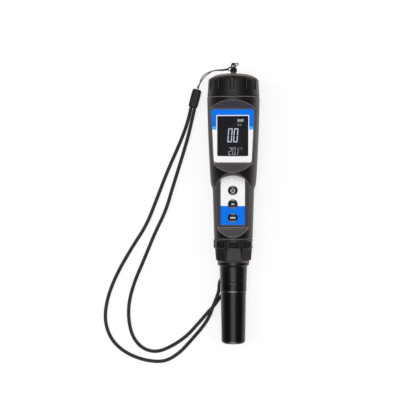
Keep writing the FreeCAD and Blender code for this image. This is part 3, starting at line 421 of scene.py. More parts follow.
class Finish:
    """One material. Its nodes come from node(), and its maths from the operators of Signal."""

    def __init__(self, name, tree=None):
        if tree is None:
            self.material = bpy.data.materials.new(name)
            self.material.use_nodes = True
            tree = self.material.node_tree
        self.tree = tree
        self.tree.nodes.clear()

    def node(self, kind, settings=None, values=None, output=0):
        """Add a node, with its settings made first, and return one output."""
        made = self.tree.nodes.new(kind)
        for name, value in (settings or {}).items():
            if name == "stops":
                self.set_stops(made.color_ramp, value)
            else:
                setattr(made, name, value)
        for name, value in (values or {}).items():
            if isinstance(value, Signal):
                self.tree.links.new(value.socket, made.inputs[name])
            else:
                made.inputs[name].default_value = value
        return Signal(self, made.outputs[output] if made.outputs else None)

    @staticmethod
    def set_stops(ramp, stops):
        """Give a colour ramp its stops, each a place and a colour."""
        while len(ramp.elements) < len(stops):
            ramp.elements.new(1.0)
        for element, (place, colour) in zip(ramp.elements, stops):
            element.position = place
            element.color = colour

    def pen_place(self):
        """The shaded point in the pen's own frame, in millimetres."""
        back = Matrix.Rotation(-PEN_TILT, 3, "X")
        return self.node(
            "ShaderNodeMapping",
            {"vector_type": "POINT"},
            {
                "Vector": self.node("ShaderNodeTexCoord", output="Object"),
                "Location": -(back @ PEN_ORIGIN),
                "Rotation": (-PEN_TILT, 0, 0),
                "Scale": (1 / MM, 1 / MM, 1 / MM),
            },
        )

    def noise(self, place, per_mm, detail=2.0, roughness=0.5):
        """Soft noise from 0 to 1, with about per_mm lumps to a unit of place."""
        values = {"Vector": place, "Scale": per_mm, "Detail": detail, "Roughness": roughness}
        return self.node("ShaderNodeTexNoise", None, values)

    def parts_of(self, vector):
        """The three numbers of a vector, which are across, station and height for a pen place."""
        across = self.node("ShaderNodeSeparateXYZ", None, {"Vector": vector})
        return across, across.output("Y"), across.output("Z")

    def blend(self, low, high, share):
        """low where share is 0, and high where it is 1."""
        settings = {"data_type": "RGBA"}
        return self.node("ShaderNodeMix", settings, {0: share, 6: low, 7: high}, output=2)

    def facing(self):
        """The direction in which the surface faces, before any rounding."""
        return self.node("ShaderNodeNewGeometry", output="Normal")

    def rounded(self, radius):
        """A normal that rounds the edges of a hard-edged solid."""
        return self.node("ShaderNodeBevel", {"samples": 4}, {"Radius": radius * MM})

    def edge_share(self, radius, slight=0.012):
        """1 along the edges of a hard-edged solid, and 0 away from them."""
        settings = {"operation": "DOT_PRODUCT"}
        values = {0: self.facing(), 1: self.rounded(radius)}
        agreement = self.node("ShaderNodeVectorMath", settings, values, output="Value")
        return (1 - agreement).above(slight, slight)

    def bump(self, height, depth, normal=None):
        """A normal tilted by a height from 0 to 1, which stands for depth in millimetres."""
        values = {"Height": height, "Distance": depth * MM, "Strength": 1.0}
        if normal is not None:
            values["Normal"] = normal
        return self.node("ShaderNodeBump", None, values)

    def surface(self, **values):
        """Close the finish with a Principled surface. Names are its sockets' own."""
        sockets = {name.replace("_", " "): value for name, value in values.items()}
        shader = self.node("ShaderNodeBsdfPrincipled", None, sockets)
        self.node("ShaderNodeOutputMaterial", None, {"Surface": shader})
        return self.material


# Finishes


def groove_share(across, station, height):
    """1 on the side walls of the battery cap's grip grooves."""
    turn = across.math("ARCTAN2", height) * (GROOVES / (2 * math.pi))
    aside = abs((turn + 0.5) % 1.0 - 0.5) * (360 / GROOVES)
    walls = (1 - abs(aside - GROOVE_WALL).above(GROOVE_WALL_HALF, 0.5)) * station.above(GROOVE_LO_S, 0.3)
    return walls * (1 - station.above(GROOVE_HI_S, 0.5))


def housing_slopes(finish, place, colour, rough):
    """Slopes that lead into the two recesses of the front, painted pale where they face up as painted
    light and made matt, with painted highlights along the edges and rims.
    """
    height = finish.parts_of(place)[2]
    along, rise = finish.parts_of(finish.facing())[1:]
    # Painted light: the slopes that face up are painted paler
    painted_light_slopes = abs(along).above(0.35, 0.1) * height.above(7.0, 0.5) * rise.above(0.05, 0.05)
    cloud = finish.noise(place, 0.12, detail=3.0)
    pale = finish.blend(screen_colour(72, 68, 70), screen_colour(84, 79, 81), cloud)
    colour = finish.blend(colour, pale, painted_light_slopes)
    # Painted highlights: the edges, and the rims of the slopes, are painted pale
    edges = finish.edge_share(0.45) * height.above(6.0, 1.0)
    colour = finish.blend(colour, screen_colour(128, 120, 122), edges * 0.85)
    painted_rim_highlight = finish.edge_share(1.0, slight=0.004) * painted_light_slopes
    colour = finish.blend(colour, screen_colour(168, 158, 160), painted_rim_highlight * 0.85)
    return colour, rough + painted_light_slopes * 0.2


def cap_grips(finish, place, colour, rough):
    """Grip grooves whose walls are painted dark as painted shade, the part of each wall that faces up
    painted pale as a painted highlight, and a band of the battery cap's dome painted paler as a painted
    reflection.
    """
    across, station, height = finish.parts_of(place)
    walls = groove_share(across, station, height)
    rise = finish.parts_of(finish.facing())[2]
    # Painted shade on the groove walls, and a painted highlight on the part of each wall that faces up
    raised = (rise - 0.5).within(0.2, 0.1)
    painted_wall_light = finish.blend(screen_colour(4, 4, 4), screen_colour(96, 92, 93), raised)
    # Painted reflection: a paler band across the dome
    painted_dome_reflection = (station + across * across * DOME_BOW).above(DOME_S, 0.5)
    painted_dome_reflection = painted_dome_reflection * (1 - station.above(DOME_TOP_S, 0.3))
    colour = finish.blend(colour, screen_colour(90, 81, 79), painted_dome_reflection)
    colour = finish.blend(colour, painted_wall_light, walls)
    dull = station.above(DOME_LOW_S, 0.4) * (1 - painted_dome_reflection)
    return colour, rough + walls * 0.4 + dull * 0.4


def collar_windows(finish, place, colour, rough):
    """Window floors of the lock collar painted dark as painted shade and made dull, and the collar's
    edges painted pale as painted highlights.
    """
    across, station, height = finish.parts_of(place)
    reach = (across * across + height * height) ** 0.5
    # Painted shade: the floors of the recessed windows are painted dark
    painted_floor_shade = 1 - reach.above(COLLAR_FLOOR_R, 0.2)
    painted_floor_shade = painted_floor_shade * (station - COLLAR_WINDOW_S).within(COLLAR_WINDOW_HALF, 0.2)
    # Painted highlights along the collar's edges
    colour = finish.blend(colour, screen_colour(96, 90, 91), finish.edge_share(0.35) * 0.8)
    colour = finish.blend(colour, screen_colour(3, 3, 3), painted_floor_shade)
    return colour, rough + painted_floor_shade * 0.35


def storage_glints(finish, place, colour, rough):
    """Painted highlights: rings on the crown of the storage cap, painted paler and fading to its sides.
    """
    across, station = finish.parts_of(place)[:2]
    # Painted highlights: each ring is painted paler, strongest on the crown
    crown = abs(across).math("MULTIPLY_ADD", -0.3, 1.15, clamp=True)
    for glint_s, half, shade in STORAGE_GLINTS:
        shine = (station - glint_s).within(half, 0.25) * crown
        colour = finish.blend(colour, screen_colour(shade, shade - 4, shade - 3), shine)
    return colour, rough


def moulded(name, dark, wear_and_sheen, sheen, grain_depth, grain_per_mm=5.0, edge=0.25, specular=0.5, own=None):
    """Moulded plastic: a fine spark-eroded grain, slight clouding and softened edges.

    own is the function that adds what only one piece has to its colour and roughness, painted light and
    shade included.
    """
    finish = Finish(name)
    place = finish.pen_place()
    cloud = finish.noise(place, 0.12, detail=3.0)
    grain = finish.noise(place, grain_per_mm, roughness=0.6)
    scuff = finish.noise(place, 1.4, detail=4.0, roughness=0.7).above(0.62, 0.2)
    colour = finish.blend(screen_colour(*dark), screen_colour(*wear_and_sheen), cloud * 0.55 + scuff * 0.2)
    rough = cloud * 0.10 + grain * 0.06 + scuff * 0.05 + (sheen - 0.08)
    if own is not None:
        colour, rough = own(finish, place, colour, rough)
    return finish.surface(
        Base_Color=colour,
        Roughness=rough,
        Specular_IOR_Level=specular,
        Normal=finish.bump(grain, grain_depth, finish.rounded(edge)),
    )


def label_print():
    """Printed film: blue over white round the display, white over blue round the keys."""
    finish = Finish("label_print")
    place = finish.pen_place()
    across, station = finish.parts_of(place)[:2]
    mottle = finish.noise(place, 0.5, detail=3.0)
    ink = finish.noise(place, 14.0, detail=1.0)
    blue_ink = finish.blend(screen_colour(0, 120, 242), screen_colour(0, 112, 230), mottle)
    white_ink = finish.blend(screen_colour(250, 250, 252), screen_colour(243, 243, 247), mottle)
    upper = finish.blend(white_ink, screen_colour(72, 176, 250), station.above(PALE_BAND_S, 0.15))
    upper = finish.blend(upper, blue_ink, station.above(BLUE_BAND_S, 0.15))
    bezel_hi = WINDOW_HI + BEZEL_PRINT
    frame = across.within(WINDOW_HALF + FRAME_PRINT, 0.12)
    frame = frame * (1 - station.above(bezel_hi + FRAME_PRINT, 0.12))
    upper = finish.blend(upper, white_ink, frame)
    bezel = across.within(WINDOW_HALF, 0.1) * (1 - station.above(bezel_hi, 0.1))
    upper = finish.blend(upper, screen_colour(16, 15, 18), bezel * station.above(WINDOW_HI - 1, 0.1))
    lower = finish.blend(blue_ink, white_ink, station.above(KEYS_BLUE_S, 0.25))
    border = abs(across).above(KEYS_PRINT_HALF, 0.12)
    lower = finish.blend(lower, screen_colour(16, 15, 16), border)
    return finish.surface(
        Base_Color=finish.blend(lower, upper, station.above(LABEL_GAP_S, 0.5)),
        Roughness=mottle * 0.08 + ink * 0.06 + 0.42,
        Specular_IOR_Level=0.08,
        Normal=finish.bump(ink, 0.004, finish.rounded(0.12)),
    )


def window_clear():
    """Clear window over the display, with a trace of smear on its gloss."""
    finish = Finish("window_clear")
    place = finish.pen_place()
    smear = finish.noise(place, 0.22, detail=4.0, roughness=0.65)
    return finish.surface(
        Base_Color=screen_colour(16, 16, 18),
        Roughness=smear * 0.12 + 0.24,
        Alpha=smear * 0.04 + 0.04,
        Specular_IOR_Level=0.06,
        Normal=finish.rounded(0.2),
    )


def lcd_black():
    """Dark display glass with the faint unlit pattern behind it."""
    finish = Finish("lcd_black")
    place = finish.pen_place()
    cloud = finish.noise(place, 0.15)
    lines = (finish.parts_of(place)[1] * 1.9).sine() * 0.5 + 0.5
    glass = finish.blend(screen_colour(14, 13, 18), screen_colour(21, 20, 26), cloud)
    return finish.surface(
        Base_Color=finish.blend(glass, screen_colour(24, 23, 30), lines * 0.5),
        Roughness=cloud * 0.1 + 0.4,
        Specular_IOR_Level=0.15,
    )


def lcd_light(name, colour, strength):
    """Lit segments of the display, a little uneven as the backlight is."""
    finish = Finish(name)
    cloud = finish.noise(finish.pen_place(), 0.4)
    dimmer = tuple(value * 0.8 for value in colour[:3]) + (1.0,)
    glow = finish.blend(dimmer, colour, cloud)
    return finish.surface(
        Base_Color=glow,
        Emission_Color=glow,
        Emission_Strength=strength,
        Roughness=cloud * 0.1 + 0.4,
    )


def key_mark():
    """Pale ink of the marks on the keys."""
    finish = Finish("key_mark")
    ink = finish.noise(finish.pen_place(), 6.0)
    return finish.surface(
        Base_Color=finish.blend(screen_colour(196, 198, 206), screen_colour(222, 223, 228), ink),
        Roughness=ink * 0.1 + 0.45,
    )


def button_gloss():
    """Polished black keys, with fine wiping marks in the gloss, and their sloped facets that face up
    painted pale as a painted highlight.
    """
    finish = Finish("button_gloss")
    place = finish.pen_place()
    smear = finish.noise(place, 1.1, detail=4.0, roughness=0.7)
    along, rise = finish.parts_of(finish.facing())[1:]
    # Painted highlight on the sloped facets that face up
    painted_facet_highlight = abs(along).above(0.2, 0.08) * rise.above(0.3, 0.2)
    black = finish.blend(screen_colour(6, 6, 7), screen_colour(13, 12, 14), smear)
    return finish.surface(
        Base_Color=finish.blend(black, screen_colour(128, 118, 126), painted_facet_highlight),
        Roughness=smear * 0.1 + painted_facet_highlight * 0.2 + 0.14,
        Specular_IOR_Level=0.2,
        Normal=finish.rounded(0.2),
    )


def brushed_metal(name, bright, dull, sheen):
    """Metal with drawn or turned marks along one direction."""
    finish = Finish(name)
    place = finish.pen_place()
    stretch = {"Vector": place, "Scale": (2.0, 30.0, 30.0)}
    marks = finish.noise(finish.node("ShaderNodeMapping", {"vector_type": "POINT"}, stretch), 1.0)
    cloud = finish.noise(place, 0.3, detail=3.0)
    share = cloud * 0.7 + marks * 0.2
    return finish.surface(
        Base_Color=finish.blend(screen_colour(*bright), screen_colour(*dull), share),
        Metallic=1.0,
        Roughness=marks * 0.12 + cloud * 0.1 + (sheen - 0.1),
        Normal=finish.bump(marks, 0.006, finish.rounded(0.1)),
    )


def circuit_green():
    """Circuit board: green mask over copper tracks, with bare edges."""
    finish = Finish("board_green")
    place = finish.pen_place()
    row = (finish.parts_of(place)[0] % 1.6) - 0.8
    tracks = (1 - abs(row).above(0.22, 0.05)) * finish.noise(place, 0.25).above(0.48, 0.04)
    mask = finish.blend(screen_colour(16, 74, 42), screen_colour(36, 110, 62), tracks)
    return finish.surface(
        Base_Color=finish.blend(mask, screen_colour(30, 92, 52), finish.noise(place, 0.4)),
        Roughness=0.32 - tracks * 0.05,
        Normal=finish.bump(tracks, 0.03),
    )


def woven_cord():
    """Braided polyester cord: yarns crossing over and under round the tube, their crowns painted paler
    as painted highlight and the hollows between them darker as painted shade.
    """
    finish = Finish("cord_black")
    run = finish.node("ShaderNodeUVMap", {"uv_map": "run"})
    around, along = finish.parts_of(run)[:2]
    left = around * CORD_YARNS + along * CORD_LAY
    right = around * CORD_YARNS - along * CORD_LAY
    left_share = (left % 1.0) * 2.0 - 1.0
    right_share = (right % 1.0) * 2.0 - 1.0
    over = abs((left.floor() + right.floor()) % 2.0).above(0.5, 0.02)
    crown_left = 1 - left_share * left_share
    crown_right = 1 - right_share * right_share
    height_left = crown_left * (crown_right * 0.35 + 0.65)
    height_right = crown_right * (crown_left * 0.35 + 0.65)
    height = height_left * over + height_right * (1 - over)
    yarn = (left * 38.0).sine() * over + (right * 38.0).sine() * (1 - over)
    fuzz = finish.noise(finish.node("ShaderNodeTexCoord", output="Object"), 9000.0)
    # Painted highlight on the yarns' crowns and painted shade in the hollows between them, with random
    # fuzz
    tone = height * 0.6 + yarn * 0.08 + fuzz * 0.3
    stops = (
        (0.1, screen_colour(14, 14, 15)),
        (0.55, screen_colour(44, 43, 45)),
        (0.95, screen_colour(86, 84, 86)),
    )
    return finish.surface(
        Base_Color=finish.node("ShaderNodeValToRGB", {"stops": stops}, {"Fac": tone}),
        Roughness=0.75 - height * 0.15,
        Specular_IOR_Level=0.4,
        Normal=finish.bump(height + yarn * 0.12 + fuzz * 0.2, 0.09),
    )


def spun_string(name, dark, pale, soiled_from=None):
    """Thin nylon string: fine filaments along each ply, soiled beyond a distance in millimetres."""
    finish = Finish(name)
    run = finish.node("ShaderNodeUVMap", {"uv_map": "run"})
    around, along = finish.parts_of(run)[:2]
    filament = ((around * 6.0 + along * 1.2) * (2 * math.pi)).sine()
    fuzz = finish.noise(finish.node("ShaderNodeTexCoord", output="Object"), 7000.0)
    tone = filament * 0.18 + fuzz * 0.6 + 0.2
    colour = finish.blend(screen_colour(*dark), screen_colour(*pale), tone)
    if soiled_from is not None:
        colour = finish.blend(colour, screen_colour(24, 23, 22), along.above(soiled_from, 7.0) * 0.85)
    return finish.surface(
        Base_Color=colour,
        Roughness=0.55 - filament * 0.08,
        Specular_IOR_Level=0.5,
        Normal=finish.bump(filament * 0.6 + fuzz, 0.03),
    )


def matt_skin(name, dark, pale, rough):
    """Rubber, silicone or ceramic with a dull, slightly dusty skin."""
    finish = Finish(name)
    place = finish.pen_place()
    dust = finish.noise(place, 0.9, detail=4.0, roughness=0.7)
    skin = finish.noise(place, 9.0)
    return finish.surface(
        Base_Color=finish.blend(screen_colour(*dark), screen_colour(*pale), dust * 0.7),
        Roughness=skin * 0.1 + dust * 0.12 + (rough - 0.1),
        Specular_IOR_Level=0.35,
        Normal=finish.bump(skin, 0.02, finish.rounded(0.2)),
    )


def turned_washer():
    """Grey washer with fine turned rings, its sides painted paler as a painted reflection."""
    finish = Finish("washer_grey")
    place = finish.pen_place()
    across, station = finish.parts_of(place)[:2]
    rings = (station * 24.0).sine()
    cloud = finish.noise(place, 0.6, detail=3.0)
    grey = finish.blend(screen_colour(44, 41, 40), screen_colour(60, 56, 55), cloud)
    # Painted reflection: the washer's sides are painted paler
    wear_and_sheen = abs(across).above(8.0, 4.0)
    return finish.surface(
        Base_Color=finish.blend(grey, screen_colour(130, 119, 115), wear_and_sheen),
        Roughness=cloud * 0.15 + 0.4,
        Normal=finish.bump(rings, 0.008, finish.rounded(0.2)),
    )


# Moulded plastics: dark and worn screen colour, sheen, depth of the grain, and what is their own,
# painted light included
MOULDED = {
    "housing_black": ((9, 8, 8), (17, 15, 15), 0.42, 0.012, {"own": housing_slopes}),
    "cap_black": ((8, 7, 8), (16, 14, 15), 0.44, 0.014, {"own": cap_grips}),
    "collar_black": ((17, 16, 16), (28, 26, 26), 0.38, 0.010, {"own": collar_windows}),
    "probe_black": ((7, 7, 7), (14, 13, 14), 0.27, 0.005, {"edge": 0.2}),
    "storage_black": (
        (5, 5, 6), (11, 10, 11), 0.25, 0.004, {"edge": 0.3, "specular": 0.42, "own": storage_glints}
    ),
    "chip_black": ((28, 28, 29), (44, 44, 45), 0.55, 0.010, {}),
    "frame_grey": ((86, 88, 90), (108, 110, 112), 0.5, 0.012, {}),
    "graphite": ((46, 46, 48), (74, 74, 78), 0.42, 0.012, {"specular": 0.8}),
    "sleeve_black": ((10, 10, 10), (34, 33, 33), 0.55, 0.05, {"grain_per_mm": 2.2, "edge": 0.4}),
}

# Rubber, silicone and other matt skins: dark and pale screen colour, and roughness
MATT_SKINS = {
    "seal_rubber": ((22, 22, 22), (44, 43, 42), 0.62),
    "silicone_grey": ((120, 122, 124), (150, 151, 152), 0.62),
    "backlight_white": ((226, 228, 230), (240, 241, 242), 0.4),
    "strip_grey": ((70, 70, 72), (170, 150, 150), 0.62),
    "ceramic_white": ((224, 220, 210), (236, 233, 226), 0.35),
}

# Metals: bright and dull screen colour, and sheen
METALS = {
    "steel": ((205, 205, 208), (160, 160, 164), 0.3),
    "cell_steel": ((214, 214, 216), (176, 176, 180), 0.25),
    "contact_brass": ((212, 178, 104), (168, 132, 70), 0.3),
}

FINISHES = {
    "washer_grey": turned_washer(),
    "label_print": label_print(),
    "window_clear": window_clear(),
    "button_gloss": button_gloss(),
    "board_green": circuit_green(),
    "lcd_black": lcd_black(),
    "string_grey": spun_string("string_grey", (56, 54, 49), (156, 152, 138), soiled_from=23.0),
    "string_dark": spun_string("string_dark", (12, 12, 12), (52, 51, 49)),
    "cord_black": woven_cord(),
}
for slot, (dark, wear_and_sheen, sheen, depth, settings) in MOULDED.items():
    FINISHES[slot] = moulded(slot, dark, wear_and_sheen, sheen, depth, **settings)
for slot, (dark, pale, rough) in MATT_SKINS.items():
    FINISHES[slot] = matt_skin(slot, dark, pale, rough)
for slot, (bright, dull, sheen) in METALS.items():
    FINISHES[slot] = brushed_metal(slot, bright, dull, sheen)


def dress_nodes():
    """Give every CAD node the finish of the material slot that the record names for it."""
    slots = {part["node"]: part["material_slot"] for part in frame["record"]["subparts"]}
    for name, node in frame["nodes"].items():
        if not node.material_slots:
            node.data.materials.append(None)
        for place in node.material_slots:
            place.material = FINISHES[slots[name]]


# Meshes


def add_mesh(name, points, faces, material, smooth=True, run=None):
    """A mesh object in the frame's metres. run gives the pair (around, along) of each corner."""
    mesh = bpy.data.meshes.new(name)
    mesh.from_pydata([tuple(p) for p in points], [], faces)
    if run is not None:
        layer = mesh.uv_layers.new(name="run")
        for corner, pair in zip(layer.data, run):
            corner.uv = pair
    for polygon in mesh.polygons:
        polygon.use_smooth = smooth
    mesh.materials.append(material)
    mesh.update()
    piece = bpy.data.objects.new(name, mesh)
    bpy.context.scene.collection.objects.link(piece)
    return piece


def route_line(route, steps):
    """Points of the smooth NURBS spline whose control points are the route, in metres."""
    curve = bpy.data.curves.new("route", "CURVE")
    curve.dimensions = "3D"
    spline = curve.splines.new("NURBS")
    spline.points.add(len(route) - 1)
    for control, place in zip(spline.points, route):
        control.co = (*(Vector(place) * MM), 1.0)
    spline.order_u = 3
    spline.use_endpoint_u = True
    spline.resolution_u = steps
    carrier = bpy.data.objects.new("route", curve)
    bpy.context.scene.collection.objects.link(carrier)
    bpy.context.view_layer.update()
    mesh = bpy.data.meshes.new_from_object(carrier)
    line = [vertex.co.copy() for vertex in mesh.vertices]
    bpy.data.objects.remove(carrier)
    bpy.data.curves.remove(curve)
    bpy.data.meshes.remove(mesh)
    return line


def carried_frames(line):
    """Heading, side and lift of each point of a line, without any twist between neighbours."""
    frames = []
    side = None
    for index in range(len(line)):
        before = line[max(index - 1, 0)]
        after = line[min(index + 1, len(line) - 1)]
        heading = (after - before).normalized()
        if side is None:
            side = heading.cross(UP).normalized()
        side = (side - heading * side.dot(heading)).normalized()
        frames.append((heading, side, side.cross(heading)))
    return frames


def skin_faces(rings, sides):
    """Four-sided faces between rings of points, each ring closed round."""
    faces = []
    for ring in range(rings - 1):
        first = ring * sides
        for step in range(sides):
            turn = (step + 1) % sides
            faces.append((first + step, first + turn, first + sides + turn, first + sides + step))
    return faces


def end_faces(rings, sides):
    """The two flat faces that close a skin."""
    last = (rings - 1) * sides
    return [tuple(reversed(range(sides))), tuple(range(last, last + sides))]


def tube_along(name, line, radius, sides, material):
    """A round tube along a line, in metres, closed by drawn-in ends."""
    frames = carried_frames(line)
    stations = [0.0]
    for before, after in zip(line, line[1:]):
        stations.append(stations[-1] + (after - before).length / MM)
    first = line[0] - frames[0][0] * radius * TUBE_END_OUT
    last = line[-1] + frames[-1][0] * radius * TUBE_END_OUT
    rings = [(first, frames[0], radius * TUBE_END_IN, stations[0])]
    rings += [(point, carried, radius, at) for point, carried, at in zip(line, frames, stations)]
    rings.append((last, frames[-1], radius * TUBE_END_IN, stations[-1]))
    points = []
    for centre, (_, side, lift), reach, _ in rings:
        for step in range(sides):
            angle = 2 * math.pi * step / sides
            points.append(centre + (side * math.cos(angle) + lift * math.sin(angle)) * reach)
    faces = skin_faces(len(rings), sides) + end_faces(len(rings), sides)
    run = []
    for ring, following in zip(rings, rings[1:]):
        low, high = ring[3], following[3]
        for step in range(sides):
            here, there = step / sides, (step + 1) / sides
            run += [(here, low), (there, low), (there, high), (here, high)]
    run += [(0.0, stations[0])] * sides
    run += [(0.0, stations[-1])] * sides
    return add_mesh(name, points, faces, material, run=run)


def joined(name, pieces):
    """One object from several, under a new name."""
    with bpy.context.temp_override(
        active_object=pieces[0], object=pieces[0], selected_objects=pieces,
        selected_editable_objects=pieces,
    ):
        bpy.ops.object.join()
    pieces[0].name = name
    pieces[0].data.name = name
    return pieces[0]


def twisted_string(name, line, lay, material):
    """Plies laid round each other along a line. lay gives the shares for a ply and its helix."""
    ply_radius, helix_radius = (STRING_D / 4 * share for share in lay)
    frames = carried_frames(line)
    strands = []
    for ply in range(STRING_PLIES):
        run = 0.0
        before = line[0]
        strand = []
        for point, (_, side, lift) in zip(line, frames):
            run += (point - before).length / MM
            before = point
            angle = 2 * math.pi * (ply / STRING_PLIES + run / STRING_PITCH)
            offset = side * math.cos(angle) + lift * math.sin(angle)
            strand.append(point + offset * (helix_radius * MM))
        strands.append(tube_along(name, strand, ply_radius * MM, PLY_SIDES, material))
    return joined(name, strands)


# Camera, floor and light


def set_camera():
    """Camera at the photograph's viewing angle."""
    camera = bpy.data.cameras.new("camera")
    camera.sensor_width = CAMERA_SENSOR
    camera.lens = CAMERA_LENS
    camera.clip_start = 0.01
    holder = bpy.data.objects.new("camera", camera)
    aside = math.tan(CAMERA_SWING) * (CAMERA_HEIGHT - AIM_HEIGHT)
    holder.location = Vector((AIM_X + aside, AIM_Y, CAMERA_HEIGHT)) * MM
    swing = Matrix.Rotation(CAMERA_SWING, 3, "Y") @ Matrix.Rotation(CAMERA_ROLL, 3, "Z")
    holder.rotation_euler = swing.to_euler()
    bpy.context.scene.collection.objects.link(holder)
    bpy.context.scene.camera = holder


def seen_share(finish):
    """1 for the rays that show the floor itself, and 0 for those that carry its light."""
    path = finish.node("ShaderNodeLightPath")
    seen = path.output("Is Camera Ray").higher_of(path.output("Is Glossy Ray"))
    return seen.higher_of(path.output("Is Transmission Ray"))


def lay_floor():
    """Plain white floor that keeps a soft shadow."""
    finish = Finish("floor_white")
    place = finish.node("ShaderNodeTexCoord", output="Object")
    across, away = finish.parts_of(place)[:2]
    pale = finish.blend(FLOOR_DULL, FLOOR_PALE, finish.noise(place, 4.0))
    diffuse = finish.node("ShaderNodeBsdfDiffuse", None, {"Color": pale})
    camera = finish.node("ShaderNodeLightPath").output("Is Camera Ray")
    warm = finish.blend(FLOOR_WARM, PLAIN_WHITE, camera)
    near = 1 - abs(across).above(FLOOR_NEAR + FLOOR_FADE / 2, FLOOR_FADE)
    # More light from beside the head on the right, and less from beside the storage cap on the left
    right = across.above(0.035, 0.04) * away.above(-0.03, 0.03)
    left = (1 - across.above(-0.035, 0.04)) * (1 - away.above(-0.06, 0.05))
    given = near * (1.15 + right * 0.5 - left * 0.4) + 0.1
    level = given * (1 - camera) * FLOOR_GLOW + camera * FLOOR_GLOW
    glow = finish.node("ShaderNodeEmission", None, {"Color": warm, "Strength": level})
    both = finish.node("ShaderNodeAddShader", None, {0: diffuse, 1: glow})
    shown = finish.node("ShaderNodeMixShader", None, {0: seen_share(finish), 1: diffuse, 2: both})
    finish.node("ShaderNodeOutputMaterial", None, {"Surface": shown})
    ways = ((-1, -1), (1, -1), (1, 1), (-1, 1))
    corners = [(FLOOR_HALF * way_x, FLOOR_HALF * way_y, 0) for way_x, way_y in ways]
    floor = add_mesh("floor", corners, [(0, 1, 2, 3)], finish.material, smooth=False)


def set_world():
    """White surroundings where the camera sees them, and a dim studio for the light they give."""
    world = bpy.data.worlds.new("studio")
    world.use_nodes = True
    bpy.context.scene.world = world
    finish = Finish("studio", world.node_tree)
    seen = finish.node("ShaderNodeLightPath").output("Is Camera Ray")
    level = seen * (1 - STUDIO_LEVEL) + STUDIO_LEVEL
    shader = finish.node("ShaderNodeBackground", None, {"Color": PLAIN_WHITE, "Strength": level})
    finish.node("ShaderNodeOutputWorld", None, {"Surface": shader})


def add_lamp(name, place, size, power, mirrored):
    """A flat lamp that shines at the middle of the floor."""
    lamp = bpy.data.lights.new(name, "AREA")
    lamp.shape = "RECTANGLE"
    lamp.size, lamp.size_y = size
    lamp.energy = power
    holder = bpy.data.objects.new(name, lamp)
    holder.location = place
    heading = Vector((0, 0, 0)) - Vector(place)
    holder.rotation_euler = heading.to_track_quat("-Z", "Y").to_euler()
    holder.visible_glossy = mirrored
    bpy.context.scene.collection.objects.link(holder)


def light_studio():
    """A broad lamp overhead and a soft bank on each side."""
    bpy.context.scene.view_settings.view_transform = "Standard"
    set_world()
    for name, (place, size, power, mirrored) in LAMPS.items():
        add_lamp(name, place, size, power, mirrored)


# Lanyard


def make_cord():
    """Thick woven cord: one loop from the sleeve, round on the ground and back to the sleeve."""
    line = route_line(CORD_ROUTE, CORD_STEPS)
    cord = tube_along("wrist_cord", line, CORD_D / 2 * MM, CORD_SIDES, FINISHES["cord_black"])
    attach(cord, "meter")
    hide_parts("lanyard_cord")


def make_sleeve():
    """Moulded sleeve: a long rounded block with softened ends, where the cord's two ends meet."""
    low = Vector((*SLEEVE_LOW, SLEEVE_H / 2))
    high = Vector((*SLEEVE_HIGH, SLEEVE_H / 2))
    along = (high - low).normalized()
    side = along.cross(UP)
    length = (high - low).length
    ends = [SLEEVE_CORNER * share for share in SLEEVE_END_SHARES]
    places = ends + [length * share for share in SLEEVE_MIDDLE_SHARES]
    places += [length - place for place in reversed(ends)]
    power = SLEEVE_SQUARENESS
    points = []
    for place in places:
        inset = SLEEVE_CORNER - min(place, length - place, SLEEVE_CORNER)
        drawn = SLEEVE_CORNER - math.sqrt(SLEEVE_CORNER ** 2 - inset ** 2)
        swell = SLEEVE_SWELL * math.sin(math.pi * place / length)
        for step in range(SLEEVE_SIDES):
            angle = 2 * math.pi * step / SLEEVE_SIDES
            wide, tall = math.cos(angle), math.sin(angle)
            reach = (abs(wide) ** power + abs(tall) ** power) ** (-1 / power)
            x = wide * reach * (SLEEVE_W / 2 + swell - drawn)
            rise = tall * reach * (SLEEVE_H / 2 - drawn * SLEEVE_TOP_DRAWN)
            points.append((low + along * place + side * x + UP * rise) * MM)
    faces = skin_faces(len(places), SLEEVE_SIDES) + end_faces(len(places), SLEEVE_SIDES)
    sleeve = add_mesh("moulded_sleeve", points, faces, FINISHES["sleeve_black"])
    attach(sleeve, "meter")
    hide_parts("lanyard_sleeve")


def make_knot():
    """Hitch of the thin string: turns round the lug, a pass through its eye and an open loop."""
    corners = (
        (KNOT_RIGHT, KNOT_DEPTH),
        (KNOT_RIGHT, -KNOT_DEPTH),
        (KNOT_LEFT, -KNOT_DEPTH),
        (KNOT_LEFT, KNOT_DEPTH),
    )
    turns = []
    for turn in range(KNOT_TURNS):
        for quarter, (x, height) in enumerate(corners):
            turns.append((x, KNOT_TURN_S - KNOT_STEP * (turn + quarter / 4), height))
    # The last turn stops halfway, behind the lug, where the pass through its eye begins
    whole = KNOT_LEAD_IN + tuple(turns[:-2]) + KNOT_LOOP
    strands = []
    for number, route in enumerate((whole, KNOT_TAIL, KNOT_SECOND)):
        line = route_line([(PEN_PLACE @ Vector(place)) / MM for place in route], KNOT_STEPS)
        name = "knot_strand_" + str(number)
        strands.append(twisted_string(name, line, KNOT_LAY, FINISHES["string_dark"]))
    knot = joined("lug_knot", strands)
    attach(knot, "battery_cap")
    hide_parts("string_hitch")


def make_strings():
    """The two thin strings that join the sleeve to the hitch."""
    for name, route in (("string_a", STRING_A_ROUTE), ("string_b", STRING_B_ROUTE)):
        line = route_line(route, STRING_STEPS)
        piece = twisted_string("thin_" + name, line, STRING_LAY, FINISHES["string_grey"])
        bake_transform(piece)
        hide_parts(name)


# Display marks

# Lit bars of each digit, lettered round from the top with g across the middle
SEGMENTS = {
    "0": "abcdef",
    "1": "bc",
    "2": "abged",
}


